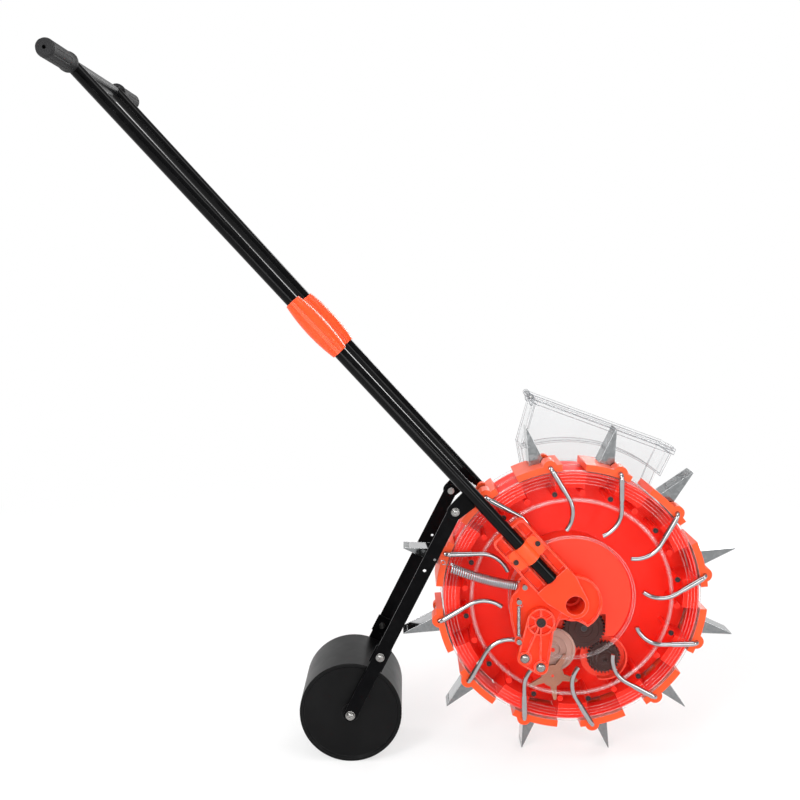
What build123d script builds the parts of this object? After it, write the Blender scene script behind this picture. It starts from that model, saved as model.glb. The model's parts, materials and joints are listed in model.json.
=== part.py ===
from build123d import *
import os
from math import asin, atan2, cos, degrees, hypot, pi, radians, sin, sqrt

os.makedirs("parts", exist_ok=True)

# Walk-behind seed planter. Sizes are millimetres. X points forward, Y to the far side and Z up.
# Everything is drawn around the drum's axle, and the last section sets it down on the floor.

# Fits: radial room for fixed and for running fits, and the side room between moving pieces
FIT = 0.1
RUN = 0.06
SIDE_ROOM = 0.4

# Drum: mouths, radii and widths
MOUTHS = 12
RIM_R = 226.0
DRUM_HALF = 56.0
HUB_R = RIM_R - 121.0
PIN_CIRCLE_R = RIM_R + 9.0
TIP_R = RIM_R + 79.0
PIN_BELOW_TIP = 19.66
COVER_WALL = 2.5
COVER_BORE_R = HUB_R + 2.5
COVER_LIP_R = HUB_R + 6.0
COVER_LIP_RISE = 3.0
BEAD_R = RIM_R - 51.0
BEAD_HALF = 3.0
BEAD_RISE = 1.4
SCREW_CIRCLE_R = RIM_R - 39.0
COVER_SCREW_R = 2.0
SCREW_HEAD_R = 4.5
SCREW_HEAD_H = 2.6
COVER_SCREW_LENGTH = 16.0

# Drum core: floor cone, collar, posts that turn the star wheel, and pocket webs
COLLAR_WALL = 4.5
COLLAR_NEAR_Y = 6.0
COLLAR_FAR_Y = 50.0
FLOOR_WALL = 4.0
FLOOR_RIM_Y = 18.0
POST_R = 5.0
PEG_TOP_Y = 3.5 - DRUM_HALF
WEB_INNER_R = RIM_R - 30.0
WEB_WALL = 3.0
WEB_START = 14.5
WEB_SPAN = 14.5
CORE_RIB = 3.0
CORE_SHORTFALL = 0.5

# Mouth seats, beaks and levers
SEAT_HALF_LENGTH = 39.4
SEAT_R = RIM_R + 12.0
SEAT_NEAR_Y = -DRUM_HALF - 2.0
SEAT_FAR_Y = 34.0
BOSS_R = 12.5
BOSS_DEPTH = 34.0
FAR_BOSS_R = 9.0
WINDOW_LOW = -12.5
WINDOW_HIGH = 10.5
WINDOW_HALF_Y = 16.0
BEAK_HALF = 20.2
BEAK_SHEET = 1.2
BEAK_BACK = 12.5
BEAK_FRONT = -15.5
BEAK_NOSE = 7.5
TIP_BACK = 1.0
TIP_FRONT = -0.6
FLAP_SHEET = 1.5
FLAP_SIDE_ROOM = 0.7
KNUCKLE_WALL = 1.5
KNUCKLE_ROOM = 2.0
ROD_R = 4.0
LEVER_BEND_R = 8.0
LEVER_Y = SEAT_NEAR_Y - LEVER_BEND_R
LEVER_HEADING = -158.5
LEVER_STRAIGHT = 52.0
LEVER_CURVE_R = 50.0
LEVER_CURVE_TURN = 70.0
LEVER_SLEEVE_R = 4.75
LEVER_SLEEVE_LENGTH = 38.0

# Hub housing, fixed inside the drum
HUB_RUN = 0.35
HUB_WALL = 5.0
HUB_NEAR_Y = 6.0 - DRUM_HALF
HUB_FAR_Y = DRUM_HALF + 6.0
HUB_FACE = 3.0
BRACKET_BASE_Y = DRUM_HALF + 20.0
GEAR_PLATE_FAR_Y = HUB_NEAR_Y + 21.0
GEAR_PLATE = 4.0
HUB_BOSS_R = 36.0
CORE_TUBE_R = 24.0
SOCKET_R = 16.5
HUB_BORE_R = 17.0
AXLE_WALL = 3.0
AXLE_HALF = HUB_FAR_Y - 12.0
GEAR_WINDOW_LEFT = -75.0
GEAR_WINDOW_RIGHT = 62.0
GEAR_WINDOW_TOP = 73.0 - HUB_R
WALL_WINDOW_TOP = 33.0 - HUB_R
SEED_SLOT_X = (0.0, 55.0)
SEED_SLOT_Y = (GEAR_PLATE_FAR_Y + 4.0, GEAR_PLATE_FAR_Y + 33.0)
HOPPER_WINDOW = (82.0, 12.0)
HOPPER_WINDOW_R = 14.0

# Gear train behind the near cover
STAR_SPIKES = 5
STAR_ANGLE = -101.5
STAR_DRIVE_LEAD = 22.0
STAR_TIP_R = 45.0
STAR_TIP_HALF = 3.0
STAR_BASE_HALF = 8.0
STAR_ROOT_R = 20.0
STAR_NECK_R = 4.5
STAR_PIN_R = 2.5
GEAR_MODULE = 2.0
STAR_TEETH = 15
IDLER_TEETH = 31
METER_TEETH = 36
HAND_TEETH = 28
HAND_GEAR_XZ = (62.0, 73.0 - SCREW_CIRCLE_R)
IDLER_ANGLE = 90.0
GEAR_PIN_R = 4.0
METER_SHAFT_R = 5.0
IDLER_DISC_R = 40.0
STAR_NEAR_Y = HUB_NEAR_Y - 1.5
STAR_PLATE = 4.0
DISC_NEAR_Y = HUB_NEAR_Y + 3.5
DISC_PLATE = 3.0
GEAR_NEAR_Y = HUB_NEAR_Y + 7.0
GEAR_FACE = 8.0
HAND_HUB_STEPS = ((21.0, DISC_NEAR_Y), (15.0, HUB_NEAR_Y), (9.5, HUB_NEAR_Y - 2.0))
HEX_SIDES = 6
HAND_HEX_R = 5.5
HAND_HEX_DEPTH = 5.0
GUARD_R = 38.0
GUARD_WALL = 2.5
GUARD_NEAR_Y = HUB_NEAR_Y + 3.0
GUARD_FACING = -15.0
METER_ROLLER_R = 26.0
METER_CELLS = 6
METER_CELL_R = 7.0
METER_ROLLER_Y = (GEAR_PLATE_FAR_Y + 5.0, GEAR_PLATE_FAR_Y + 32.0)

# Handle tubes, sleeves, crossbar and grips
HANDLE_ANGLE = 132.6
HANDLE_LENGTH = 1211.0
TUBE_R = 11.0
TUBE_WALL = 1.5
TUBE_FOOT = 60.0
BRACKET_PLATE = 4.0
TUBE_FOOT_Y = BRACKET_BASE_Y + BRACKET_PLATE + TUBE_R + 2.0
TUBE_TOP_Y = TUBE_FOOT_Y + 28.0
SLEEVE_START = 590.0
SLEEVE_LENGTH = 113.0
SLEEVE_END_R = TUBE_R + 2.5
SLEEVE_MID_R = TUBE_R + 7.5
SLEEVE_RIDGE = 6.0
SLEEVE_RIDGE_RISE = 2.0
CROSSBAR_R = 9.0
GRIP_LENGTH = 108.0
HANDLE_HALF = TUBE_TOP_Y + TUBE_R + GRIP_LENGTH
GRIP_R = 14.8
GRIP_FLARE_R = 16.2
GRIP_CAP = 6.0
GRIP_HOLE_R = 3.0
GRIP_FLUTES = 10
GRIP_FLUTE_R = 2.0
GRIP_FLUTE_DEPTH = 0.8

# Side brackets
BRACKET_RIB = 3.0
BRACKET_RIM_Y = TUBE_FOOT_Y + 4.0
BRACKET_FACE_Y = TUBE_FOOT_Y + 6.0
NOSE_R = 23.0
ARM_START = 28.0
ARM_END = 176.0
ARM_HALF = 34.0
ARM_CORNER_R = 10.0
RAIL_OFFSET = TUBE_R + 5.0
RAIL_Y = TUBE_FOOT_Y - 4.0
EAR_R = 48.0
EAR_RIM_Y = BRACKET_BASE_Y + 11.0
EAR_BITE_R = 50.0
EAR_BITE_XZ = (-9.0, -80.0)
CLAMP_PLACE = 125.0
CLAMP_LENGTH = 36.0
CLAMP_HALF = 30.0
CLAMP_PLATE = 3.0
CLAMP_ARCH_R = TUBE_R + 3.0
CLAMP_SCREW_OFFSET = 24.5
CLAMP_SCREW_LENGTH = 14.0
LOBE = (
    (-75.0, 62.0), (-97.0, 40.0), (-97.0, 26.0), (-108.0, 10.0), (-111.0, -5.0), (-108.0, -35.0),
    (-100.0, -68.0), (-88.0, -70.0), (-60.0, -64.0), (-31.0, -50.0), (-20.0, -20.0), (0.0, 0.0),
)
LOBE_RIM_Y = BRACKET_BASE_Y + 6.5

# Striker under the near bracket
STRIKER_PIVOT = (-58.0, -31.0)
STRIKER_HEAD_R = 24.0
STRIKER_FOOT = ((-84.5, -96.0), (-57.0, -112.0))
STRIKER_FOOT_R = 13.0
STRIKER_LUG = (-95.0, -66.0)
STRIKER_LUG_R = 7.0
STRIKER_FAR_Y = -BRACKET_BASE_Y - 8.0
STRIKER_NEAR_Y = STRIKER_FAR_Y - 12.0
STRIKER_PLATE = 4.0
STRIKER_RIB = 2.5
STRIKER_BOSS_R = 10.0
STRIKER_SPOKES = 6
PIVOT_BOLT_R = 6.0
PIVOT_HEAD_R = 8.0
PIVOT_HEAD_H = 2.5
FOOT_BOLT_R = 4.0
FOOT_HEAD_R = 7.5
FOOT_HEAD_H = 4.0
FOOT_HEAD_ROOM = 1.0
FOLLOWER_R = 8.0
FOLLOWER_WIDTH = 9.0
FOLLOWER_CAP_R = 6.0
FOLLOWER_CAP_H = 1.2
POST_SCREW_XZ = (-96.0, 5.0)
SPRING_POST_XZ = (-86.0, 29.0)
SPRING_POST_R = 2.5
SPRING_POST_HEAD_R = 4.5
SPRING_POST_HEAD_H = 2.5
SMALL_SPRING_Y = -BRACKET_BASE_Y - 15.0
BIG_SPRING_Y = -BRACKET_BASE_Y - 9.0

# Press wheel: arms, lugs, brace and roller
ARM_PIVOT_XZ = (-206.0, 161.0)
ROLLER_X = -TIP_R - 82.0
ROLLER_R = 90.0
PRESS_ARM_Y = BRACKET_BASE_Y + 4.0
ROLLER_HALF = PRESS_ARM_Y - 7.0
ROLLER_CHAMFER = 1.0
ROLLER_WALL = 4.0
ROLLER_HUB_R = 16.0
ROLLER_DISH = 3.0
ROLLER_RIM = 8.0
ROLLER_FILL_R = 8.0
ROLLER_FILL_CIRCLE_R = 50.0
ROLLER_FILL_HOLES = 2
PRESS_AXLE_R = 5.0
PRESS_HEAD_R = 6.8
PRESS_HEAD_H = 5.0
SPACER_R = 9.0
PRESS_ARM_PLATE = 4.0
PRESS_ARM_HALF = 11.7
LUG_Y = PRESS_ARM_Y + 6.0
LUG_PLATE = 4.0
LUG_HALF = 17.0
LUG_TIP_R = 14.0
ARM_BOLT_R = 4.0
ARM_BOLT_HEAD_R = 6.2
ARM_BOLT_HEAD_H = 4.0
BRACE_FROM_ROLLER = 118.2
BRACE_WEB = 3.0
BRACE_DEPTH = 32.0
BRACE_FLANGE = 26.0
BLADE_ROOM = 3.0
BRACE_BOLT_R = 3.5
BRACE_HEAD_R = 6.2
BRACE_HEAD_H = 4.0
ARM_SPRING_FROM_PIVOT = 92.0
ARM_SPRING_INSET = 7.0
ARM_SPRING_HOLE_R = 2.5
ARM_HOLE_FROM_PIVOT = 117.0
ARM_HOLE_R = 3.0

# Springs: wire radius, mean coil radius, turns and the bare wire at each end of the coil
BIG_WIRE_R = 1.0
BIG_COIL_R = 8.0
BIG_TURNS = 46
BIG_LEAD_BRACKET = 15.0
BIG_LEAD_ARM = 30.0
SMALL_WIRE_R = 0.55
SMALL_COIL_R = 2.9
SMALL_TURNS = 31
SMALL_LEAD = 8.0
SPRING_ROOM = 0.3

# Seed hopper and lid
HOPPER_SHOULDER_R = SEAT_R + 24.0
HOPPER_CORNER = (-58.0, HOPPER_SHOULDER_R + 75.0)
HOPPER_TILT = -20.15
HOPPER_LENGTH = 266.0
HOPPER_TOP_NEAR_Y = HUB_FAR_Y - 32.0
HOPPER_FAR_Y = HUB_FAR_Y + 68.0
HOPPER_WALL = 2.5
HOPPER_LEFT_FOOT = 108.0
HOPPER_RIGHT_FOOT = 49.5
HOPPER_CHUTE = (
    (-70.0, 190.0), (-38.0, 137.0), (12.0, 88.0), (48.0, 52.0), (62.0, 10.0), (62.0, -30.0),
    (80.0, -45.0), (100.0, -38.0), (110.0, -15.0), (114.0, 40.0), (140.0, 120.0),
)
HOPPER_RIM = 3.0
HOPPER_RIM_H = 6.0
LID_PLATE = 4.0
LID_ROOM = 0.4
LID_HINGE_OUT = 8.0
LID_KNUCKLE_R = 5.0
LID_PIN_R = 2.0
LID_PIN_END = 1.0
LID_SWING_ROOM = 1.0
LID_EAR = 15.0
LID_EAR_INSET = 12.0
LID_TAB = 9.0
LID_TAB_HALF = 18.0

# Worked-out angles, places and ratios
PITCH = 360 / MOUTHS
TIP_ANGLE = PITCH / 2
TIP_LEAD = degrees(asin(PIN_BELOW_TIP / PIN_CIRCLE_R))
SEAT_HALF_ANGLE = degrees(SEAT_HALF_LENGTH / RIM_R)
PIN_ANGLE = TIP_ANGLE - TIP_LEAD
POSTS = 2 * MOUTHS
FLOOR_Z = -(TIP_R * cos(radians(TIP_ANGLE)) + TIP_BACK * sin(radians(TIP_ANGLE)))
ROLLER_Z = FLOOR_Z + ROLLER_R
GEAR_PLATE_NEAR_Y = GEAR_PLATE_FAR_Y - GEAR_PLATE
COVER_INNER_Y = DRUM_HALF - COVER_WALL
CORE_TOP_Y = -COVER_INNER_Y + SIDE_ROOM / 2
STAR_DISTANCE = SCREW_CIRCLE_R * (1 - STAR_SPIKES / POSTS)


def polar(radius, angle):
    """Side-view point at a radius and an angle counted up from the forward direction."""
    return (radius * cos(radians(angle)), radius * sin(radians(angle)))


def side_plane(y):
    """Plane square to the axle, seen from the near side."""
    return Plane.XZ.offset(-y)


def turned(angles):
    """Places turned about the axle by each angle, counted as in the side view."""
    return [Location((0, 0, 0), (0, -angle, 0)) for angle in angles]


def bar(xz, radius, far_y, near_y, mode=Mode.ADD):
    """Round bar along the axle's direction, added to the part being built."""
    with BuildSketch(side_plane(far_y)) as profile:
        with Locations(xz):
            Circle(radius)
    extrude(profile.sketch, amount=far_y - near_y, mode=mode)


def sector(inner_r, outer_r, start, end):
    """Face between two radii and two angles, added to the sketch being drawn."""
    middle = (start + end) / 2
    with BuildLine() as outline:
        ThreePointArc(polar(inner_r, start), polar(inner_r, middle), polar(inner_r, end))
        Line(polar(inner_r, end), polar(outer_r, end))
        ThreePointArc(polar(outer_r, end), polar(outer_r, middle), polar(outer_r, start))
        Line(polar(outer_r, start), polar(inner_r, start))
    make_face(outline.edges())


def bearing(start, end):
    """Angle and distance from one side-view point to another."""
    run = (end[0] - start[0], end[1] - start[1])
    return degrees(atan2(run[1], run[0])), hypot(*run)


def both_sides(part):
    """A piece of one side and its mirror image on the other side, as one group."""
    return Compound(children=[part, mirror(part, about=Plane.XZ, mode=Mode.PRIVATE)])


TIP_ANGLES = [TIP_ANGLE + PITCH * k for k in range(MOUTHS)]
PIN_ANGLES = [PIN_ANGLE + PITCH * k for k in range(MOUTHS)]
pieces = {}

# Gear train places. The star wheel runs inside the ring of posts, so its distance from the axle
# follows from the two counts. The idler stands beside it, and the metering gear meshes with the
# idler and with the hand gear.
STAR_XZ = polar(STAR_DISTANCE, STAR_ANGLE)
idler_step = polar((STAR_TEETH + IDLER_TEETH) * GEAR_MODULE / 2, IDLER_ANGLE)
IDLER_XZ = (STAR_XZ[0] + idler_step[0], STAR_XZ[1] + idler_step[1])
hand_angle, hand_distance = bearing(IDLER_XZ, HAND_GEAR_XZ)
meter_to_idler = (IDLER_TEETH + METER_TEETH) * GEAR_MODULE / 2
meter_to_hand = (METER_TEETH + HAND_TEETH) * GEAR_MODULE / 2
meter_squares = meter_to_idler**2 + hand_distance**2 - meter_to_hand**2
meter_cosine = meter_squares / (2 * meter_to_idler * hand_distance)
meter_angle = hand_angle + degrees(atan2(sqrt(1 - meter_cosine**2), meter_cosine))
meter_step = polar(meter_to_idler, meter_angle)
METER_XZ = (IDLER_XZ[0] + meter_step[0], IDLER_XZ[1] + meter_step[1])

STAR_RATIO = POSTS / STAR_SPIKES
IDLER_RATIO = -STAR_RATIO * STAR_TEETH / IDLER_TEETH
METER_RATIO = STAR_RATIO * STAR_TEETH / METER_TEETH
HAND_RATIO = -METER_RATIO * METER_TEETH / HAND_TEETH


def meshed_phase(driver_xz, driver_teeth, driver_phase, xz, teeth):
    """Angle of a tooth on a gear that meshes with its driver."""
    toward = bearing(driver_xz, xz)[0]
    return toward + 180 - (180 - (toward - driver_phase) * driver_teeth) / teeth


STAR_PHASE = bearing(STAR_XZ, IDLER_XZ)[0]
IDLER_PHASE = meshed_phase(STAR_XZ, STAR_TEETH, STAR_PHASE, IDLER_XZ, IDLER_TEETH)
METER_PHASE = meshed_phase(IDLER_XZ, IDLER_TEETH, IDLER_PHASE, METER_XZ, METER_TEETH)
HAND_PHASE = meshed_phase(METER_XZ, METER_TEETH, METER_PHASE, HAND_GEAR_XZ, HAND_TEETH)

# Tooth shape as shares of the module and of the tooth pitch, slack enough for moulded gears
TOOTH_RISE = 0.8
TOOTH_ROOT = 1.2
TOOTH_TIP_SHARE = 0.10
TOOTH_ROOT_SHARE = 0.27


def gear(xz, teeth, phase, far_y, near_y):
    """Toothed wheel along the axle's direction, added to the part being built."""
    pitch_r = teeth * GEAR_MODULE / 2
    tip_r = pitch_r + TOOTH_RISE * GEAR_MODULE
    root_r = pitch_r - TOOTH_ROOT * GEAR_MODULE
    step = 360 / teeth
    outline = []
    for tooth in range(teeth):
        centre = phase + tooth * step
        outline.append(polar(root_r, centre - TOOTH_ROOT_SHARE * step))
        outline.append(polar(tip_r, centre - TOOTH_TIP_SHARE * step))
        outline.append(polar(tip_r, centre + TOOTH_TIP_SHARE * step))
        outline.append(polar(root_r, centre + TOOTH_ROOT_SHARE * step))
    with BuildSketch(side_plane(far_y)) as profile:
        with Locations(xz):
            Polygon(*outline, align=None)
    extrude(profile.sketch, amount=far_y - near_y)


# Star wheel with its pinion. At rest a post stands just behind one spike, ready to push it.
posts_from_star = (STAR_ANGLE - PIN_ANGLE) / (360 / POSTS) - 1 / 2
gap_angle = PIN_ANGLE + (round(posts_from_star) + 1 / 2) * 360 / POSTS
STAR_SPIKE_ANGLE = STAR_ANGLE + (gap_angle - STAR_ANGLE) * STAR_RATIO + STAR_DRIVE_LEAD
with BuildPart() as star_wheel:
    with BuildSketch(side_plane(STAR_NEAR_Y + STAR_PLATE)):
        with Locations(STAR_XZ):
            Circle(STAR_ROOT_R)
            with PolarLocations(0, STAR_SPIKES, start_angle=STAR_SPIKE_ANGLE):
                Polygon(
                    (0, -STAR_BASE_HALF),
                    (STAR_TIP_R - STAR_TIP_HALF, -STAR_TIP_HALF),
                    (STAR_TIP_R - STAR_TIP_HALF, STAR_TIP_HALF),
                    (0, STAR_BASE_HALF),
                    align=None,
                )
            with PolarLocations(STAR_TIP_R - STAR_TIP_HALF, STAR_SPIKES, start_angle=STAR_SPIKE_ANGLE):
                Circle(STAR_TIP_HALF)
    extrude(amount=STAR_PLATE)
    bar(STAR_XZ, STAR_NECK_R, GEAR_NEAR_Y, STAR_NEAR_Y)
    gear(STAR_XZ, STAR_TEETH, STAR_PHASE, GEAR_NEAR_Y + GEAR_FACE, GEAR_NEAR_Y)
    bar(STAR_XZ, STAR_PIN_R + RUN, GEAR_NEAR_Y + GEAR_FACE, STAR_NEAR_Y, Mode.SUBTRACT)
pieces["star_wheel"] = star_wheel.part

# Idler with its pale disc, stepped like a pulley
with BuildPart() as idler_disc:
    gear(IDLER_XZ, IDLER_TEETH, IDLER_PHASE, GEAR_NEAR_Y + GEAR_FACE, GEAR_NEAR_Y)
    bar(IDLER_XZ, IDLER_DISC_R, GEAR_NEAR_Y, DISC_NEAR_Y)
    bar(IDLER_XZ, IDLER_DISC_R - 2 * DISC_PLATE, DISC_NEAR_Y + DISC_PLATE / 2, DISC_NEAR_Y, Mode.SUBTRACT)
    bar(IDLER_XZ, 2 * GEAR_PIN_R, GEAR_NEAR_Y, DISC_NEAR_Y)
    bar(IDLER_XZ, GEAR_PIN_R + RUN, GEAR_NEAR_Y + GEAR_FACE, DISC_NEAR_Y, Mode.SUBTRACT)
pieces["idler_disc"] = idler_disc.part

# Metering gear and the seed roller that turns with it behind the gear plate
with BuildPart() as metering_gear:
    gear(METER_XZ, METER_TEETH, METER_PHASE, GEAR_NEAR_Y + GEAR_FACE, GEAR_NEAR_Y)
    bar(METER_XZ, METER_SHAFT_R + FIT, GEAR_NEAR_Y + GEAR_FACE, GEAR_NEAR_Y, Mode.SUBTRACT)
pieces["metering_gear"] = metering_gear.part

with BuildPart() as metering_roller:
    with BuildSketch(side_plane(METER_ROLLER_Y[1])):
        with Locations(METER_XZ):
            Circle(METER_ROLLER_R)
            with PolarLocations(METER_ROLLER_R, METER_CELLS):
                Circle(METER_CELL_R, mode=Mode.SUBTRACT)
    extrude(amount=METER_ROLLER_Y[1] - METER_ROLLER_Y[0])
    bar(METER_XZ, METER_SHAFT_R, METER_ROLLER_Y[1], GEAR_NEAR_Y)
pieces["metering_roller"] = metering_roller.part

# Hand gear: stepped hub with a six-sided socket, for turning the seed train by hand
with BuildPart() as hand_gear:
    gear(HAND_GEAR_XZ, HAND_TEETH, HAND_PHASE, GEAR_NEAR_Y + GEAR_FACE, GEAR_NEAR_Y)
    for step_r, step_y in HAND_HUB_STEPS:
        bar(HAND_GEAR_XZ, step_r, GEAR_NEAR_Y, step_y)
    hand_face_y = HAND_HUB_STEPS[-1][1]
    with BuildSketch(side_plane(hand_face_y + HAND_HEX_DEPTH)):
        with Locations(HAND_GEAR_XZ):
            RegularPolygon(HAND_HEX_R, HEX_SIDES)
    extrude(amount=HAND_HEX_DEPTH, mode=Mode.SUBTRACT)
    hand_pin_top_y = hand_face_y + HAND_HEX_DEPTH + SIDE_ROOM
    bar(HAND_GEAR_XZ, GEAR_PIN_R + RUN, GEAR_NEAR_Y + GEAR_FACE, hand_pin_top_y, Mode.SUBTRACT)
pieces["hand_gear"] = hand_gear.part

# Hub housing: a fixed round case through the drum, with the gear plate across it
with BuildPart() as hub_housing:
    bar((0, 0), HUB_R, HUB_FAR_Y, HUB_NEAR_Y)
    inside_r = HUB_R - HUB_WALL
    bar((0, 0), inside_r, HUB_FAR_Y - HUB_FACE, GEAR_PLATE_FAR_Y, Mode.SUBTRACT)
    bar((0, 0), inside_r, GEAR_PLATE_NEAR_Y, HUB_NEAR_Y + HUB_FACE, Mode.SUBTRACT)
    with BuildSketch(side_plane(HUB_NEAR_Y + HUB_FACE)):
        with Locations((GEAR_WINDOW_LEFT, GEAR_WINDOW_TOP)):
            Rectangle(GEAR_WINDOW_RIGHT - GEAR_WINDOW_LEFT, HUB_R, align=(Align.MIN, Align.MAX))
    extrude(amount=HUB_FACE, mode=Mode.SUBTRACT)
    with BuildSketch(side_plane(GEAR_PLATE_NEAR_Y)):
        with Locations((0, WALL_WINDOW_TOP)):
            Rectangle(2 * HUB_R, HUB_R, align=(Align.CENTER, Align.MAX))
    extrude(amount=GEAR_PLATE_NEAR_Y - HUB_NEAR_Y, mode=Mode.SUBTRACT)
    bar(IDLER_XZ, IDLER_DISC_R + HUB_WALL, GEAR_PLATE_FAR_Y, GEAR_PLATE_NEAR_Y)
    bar(STAR_XZ, STAR_ROOT_R, GEAR_PLATE_FAR_Y, GEAR_PLATE_NEAR_Y)
    bar(HAND_GEAR_XZ, GUARD_R + GUARD_WALL, GEAR_PLATE_FAR_Y, GEAR_PLATE_NEAR_Y)
    with BuildSketch(side_plane(GEAR_PLATE_NEAR_Y)):
        with Locations(HAND_GEAR_XZ):
            Circle(GUARD_R + GUARD_WALL)
            Circle(GUARD_R, mode=Mode.SUBTRACT)
            with Locations(Location((0, 0, 0), (0, 0, GUARD_FACING))):
                Rectangle(
                    2 * GUARD_R, 4 * GUARD_R, align=(Align.MAX, Align.CENTER), mode=Mode.SUBTRACT
                )
    extrude(amount=GEAR_PLATE_NEAR_Y - GUARD_NEAR_Y)
    bar((0, 0), CORE_TUBE_R, HUB_FAR_Y, HUB_NEAR_Y)
    bar((0, 0), HUB_BORE_R, HUB_FAR_Y, HUB_NEAR_Y, Mode.SUBTRACT)
    bar(STAR_XZ, STAR_PIN_R, GEAR_PLATE_NEAR_Y, STAR_NEAR_Y)
    bar(IDLER_XZ, GEAR_PIN_R, GEAR_PLATE_NEAR_Y, DISC_NEAR_Y)
    bar(HAND_GEAR_XZ, GEAR_PIN_R, GEAR_PLATE_NEAR_Y, hand_pin_top_y + SIDE_ROOM)
    bar(METER_XZ, METER_SHAFT_R + RUN, GEAR_PLATE_FAR_Y, GEAR_PLATE_NEAR_Y, Mode.SUBTRACT)
    with BuildSketch(side_plane(SEED_SLOT_Y[1])):
        with Locations((SEED_SLOT_X[0], WALL_WINDOW_TOP)):
            Rectangle(SEED_SLOT_X[1] - SEED_SLOT_X[0], HUB_R, align=(Align.MIN, Align.MAX))
    extrude(amount=SEED_SLOT_Y[1] - SEED_SLOT_Y[0], mode=Mode.SUBTRACT)
    bar(HOPPER_WINDOW, HOPPER_WINDOW_R, HUB_FAR_Y, HUB_FAR_Y - HUB_FACE, Mode.SUBTRACT)
pieces["hub_housing"] = hub_housing.part

# Spacer rings between the hub and the brackets
with BuildPart() as hub_spacers:
    for ring_far_y, ring_near_y in ((HUB_NEAR_Y, -BRACKET_BASE_Y), (BRACKET_BASE_Y, HUB_FAR_Y)):
        bar((0, 0), HUB_BOSS_R, ring_far_y, ring_near_y)
        bar((0, 0), HUB_BORE_R, ring_far_y, ring_near_y, Mode.SUBTRACT)
pieces["hub_spacers"] = hub_spacers.part

# Axle tube held in the hub, short of both bracket sockets
with BuildPart() as axle_tube:
    bar((0, 0), HUB_BORE_R - FIT, AXLE_HALF, -AXLE_HALF)
    bar((0, 0), HUB_BORE_R - FIT - AXLE_WALL, AXLE_HALF, -AXLE_HALF, Mode.SUBTRACT)
pieces["axle_tube"] = axle_tube.part

# Drum core: floor cone on a collar that runs on the hub, with ribs on its far side
collar_r = HUB_R + HUB_RUN
core_r = RIM_R - COVER_WALL - CORE_SHORTFALL
web_starts = [angle + WEB_START for angle in PIN_ANGLES]
web_wall_angle = degrees(WEB_WALL / WEB_INNER_R)


def web_hollows():
    """Insides of the pocket webs, added to the sketch being drawn."""
    for start in web_starts:
        hollow_start = start + web_wall_angle
        hollow_end = start + WEB_SPAN - web_wall_angle
        sector(WEB_INNER_R + WEB_WALL, core_r - WEB_WALL, hollow_start, hollow_end)


with BuildPart() as drum_core:
    with BuildSketch(Plane.XY):
        Polygon(
            (collar_r, COLLAR_NEAR_Y),
            (WEB_INNER_R, FLOOR_RIM_Y),
            (core_r, FLOOR_RIM_Y),
            (core_r, FLOOR_RIM_Y + FLOOR_WALL),
            (WEB_INNER_R, FLOOR_RIM_Y + FLOOR_WALL),
            (collar_r + COLLAR_WALL, COLLAR_NEAR_Y + FLOOR_WALL),
            (collar_r + COLLAR_WALL, COLLAR_FAR_Y),
            (collar_r, COLLAR_FAR_Y),
            align=None,
        )
    revolve(axis=Axis.Y)
    with BuildSketch(side_plane(FLOOR_RIM_Y + FLOOR_WALL)):
        web_hollows()
    extrude(amount=FLOOR_WALL, mode=Mode.SUBTRACT)
    rib_inner_r = collar_r + COLLAR_WALL / 2
    with BuildSketch(side_plane(COLLAR_FAR_Y)):
        Circle(core_r)
        Circle(core_r - CORE_RIB, mode=Mode.SUBTRACT)
        with PolarLocations(rib_inner_r, MOUTHS, start_angle=PIN_ANGLE):
            Rectangle(core_r - rib_inner_r - CORE_RIB / 2, CORE_RIB, align=(Align.MIN, Align.CENTER))
    extrude(amount=COLLAR_FAR_Y - FLOOR_RIM_Y - FLOOR_WALL)
pieces["drum_core"] = drum_core.part

# Pocket webs and posts, standing on the core's floor
with BuildPart() as drum_webs:
    with BuildSketch(side_plane(FLOOR_RIM_Y)):
        for start in web_starts:
            sector(WEB_INNER_R, core_r, start, start + WEB_SPAN)
    extrude(amount=FLOOR_RIM_Y - CORE_TOP_Y)
    with BuildSketch(side_plane(FLOOR_RIM_Y)):
        web_hollows()
    extrude(amount=FLOOR_RIM_Y - CORE_TOP_Y - WEB_WALL, mode=Mode.SUBTRACT)
    with BuildSketch(side_plane(FLOOR_RIM_Y)):
        with PolarLocations(SCREW_CIRCLE_R, MOUTHS, start_angle=PIN_ANGLE):
            Circle(POST_R)
    extrude(amount=FLOOR_RIM_Y - CORE_TOP_Y)
    with BuildSketch(side_plane(FLOOR_RIM_Y)):
        with PolarLocations(SCREW_CIRCLE_R, MOUTHS, start_angle=PIN_ANGLE + PITCH / 2):
            Circle(POST_R)
    extrude(amount=FLOOR_RIM_Y - PEG_TOP_Y)
    with BuildSketch(side_plane(CORE_TOP_Y + COVER_SCREW_LENGTH)):
        with PolarLocations(SCREW_CIRCLE_R, MOUTHS, start_angle=PIN_ANGLE):
            Circle(COVER_SCREW_R + FIT)
    extrude(amount=COVER_SCREW_LENGTH, mode=Mode.SUBTRACT)
    add(drum_core.part, mode=Mode.SUBTRACT)
pieces["drum_webs"] = drum_webs.part

# Mouth opening through the rim, drawn in line with the first beak's tip
with BuildPart() as mouth_opening:
    with BuildSketch(Plane.YZ.offset(RIM_R - 2 * COVER_WALL)):
        with Locations((0, (WINDOW_LOW + WINDOW_HIGH) / 2)):
            Rectangle(2 * WINDOW_HALF_Y, WINDOW_HIGH - WINDOW_LOW)
    extrude(amount=SEAT_R - RIM_R + 4 * COVER_WALL)

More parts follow.
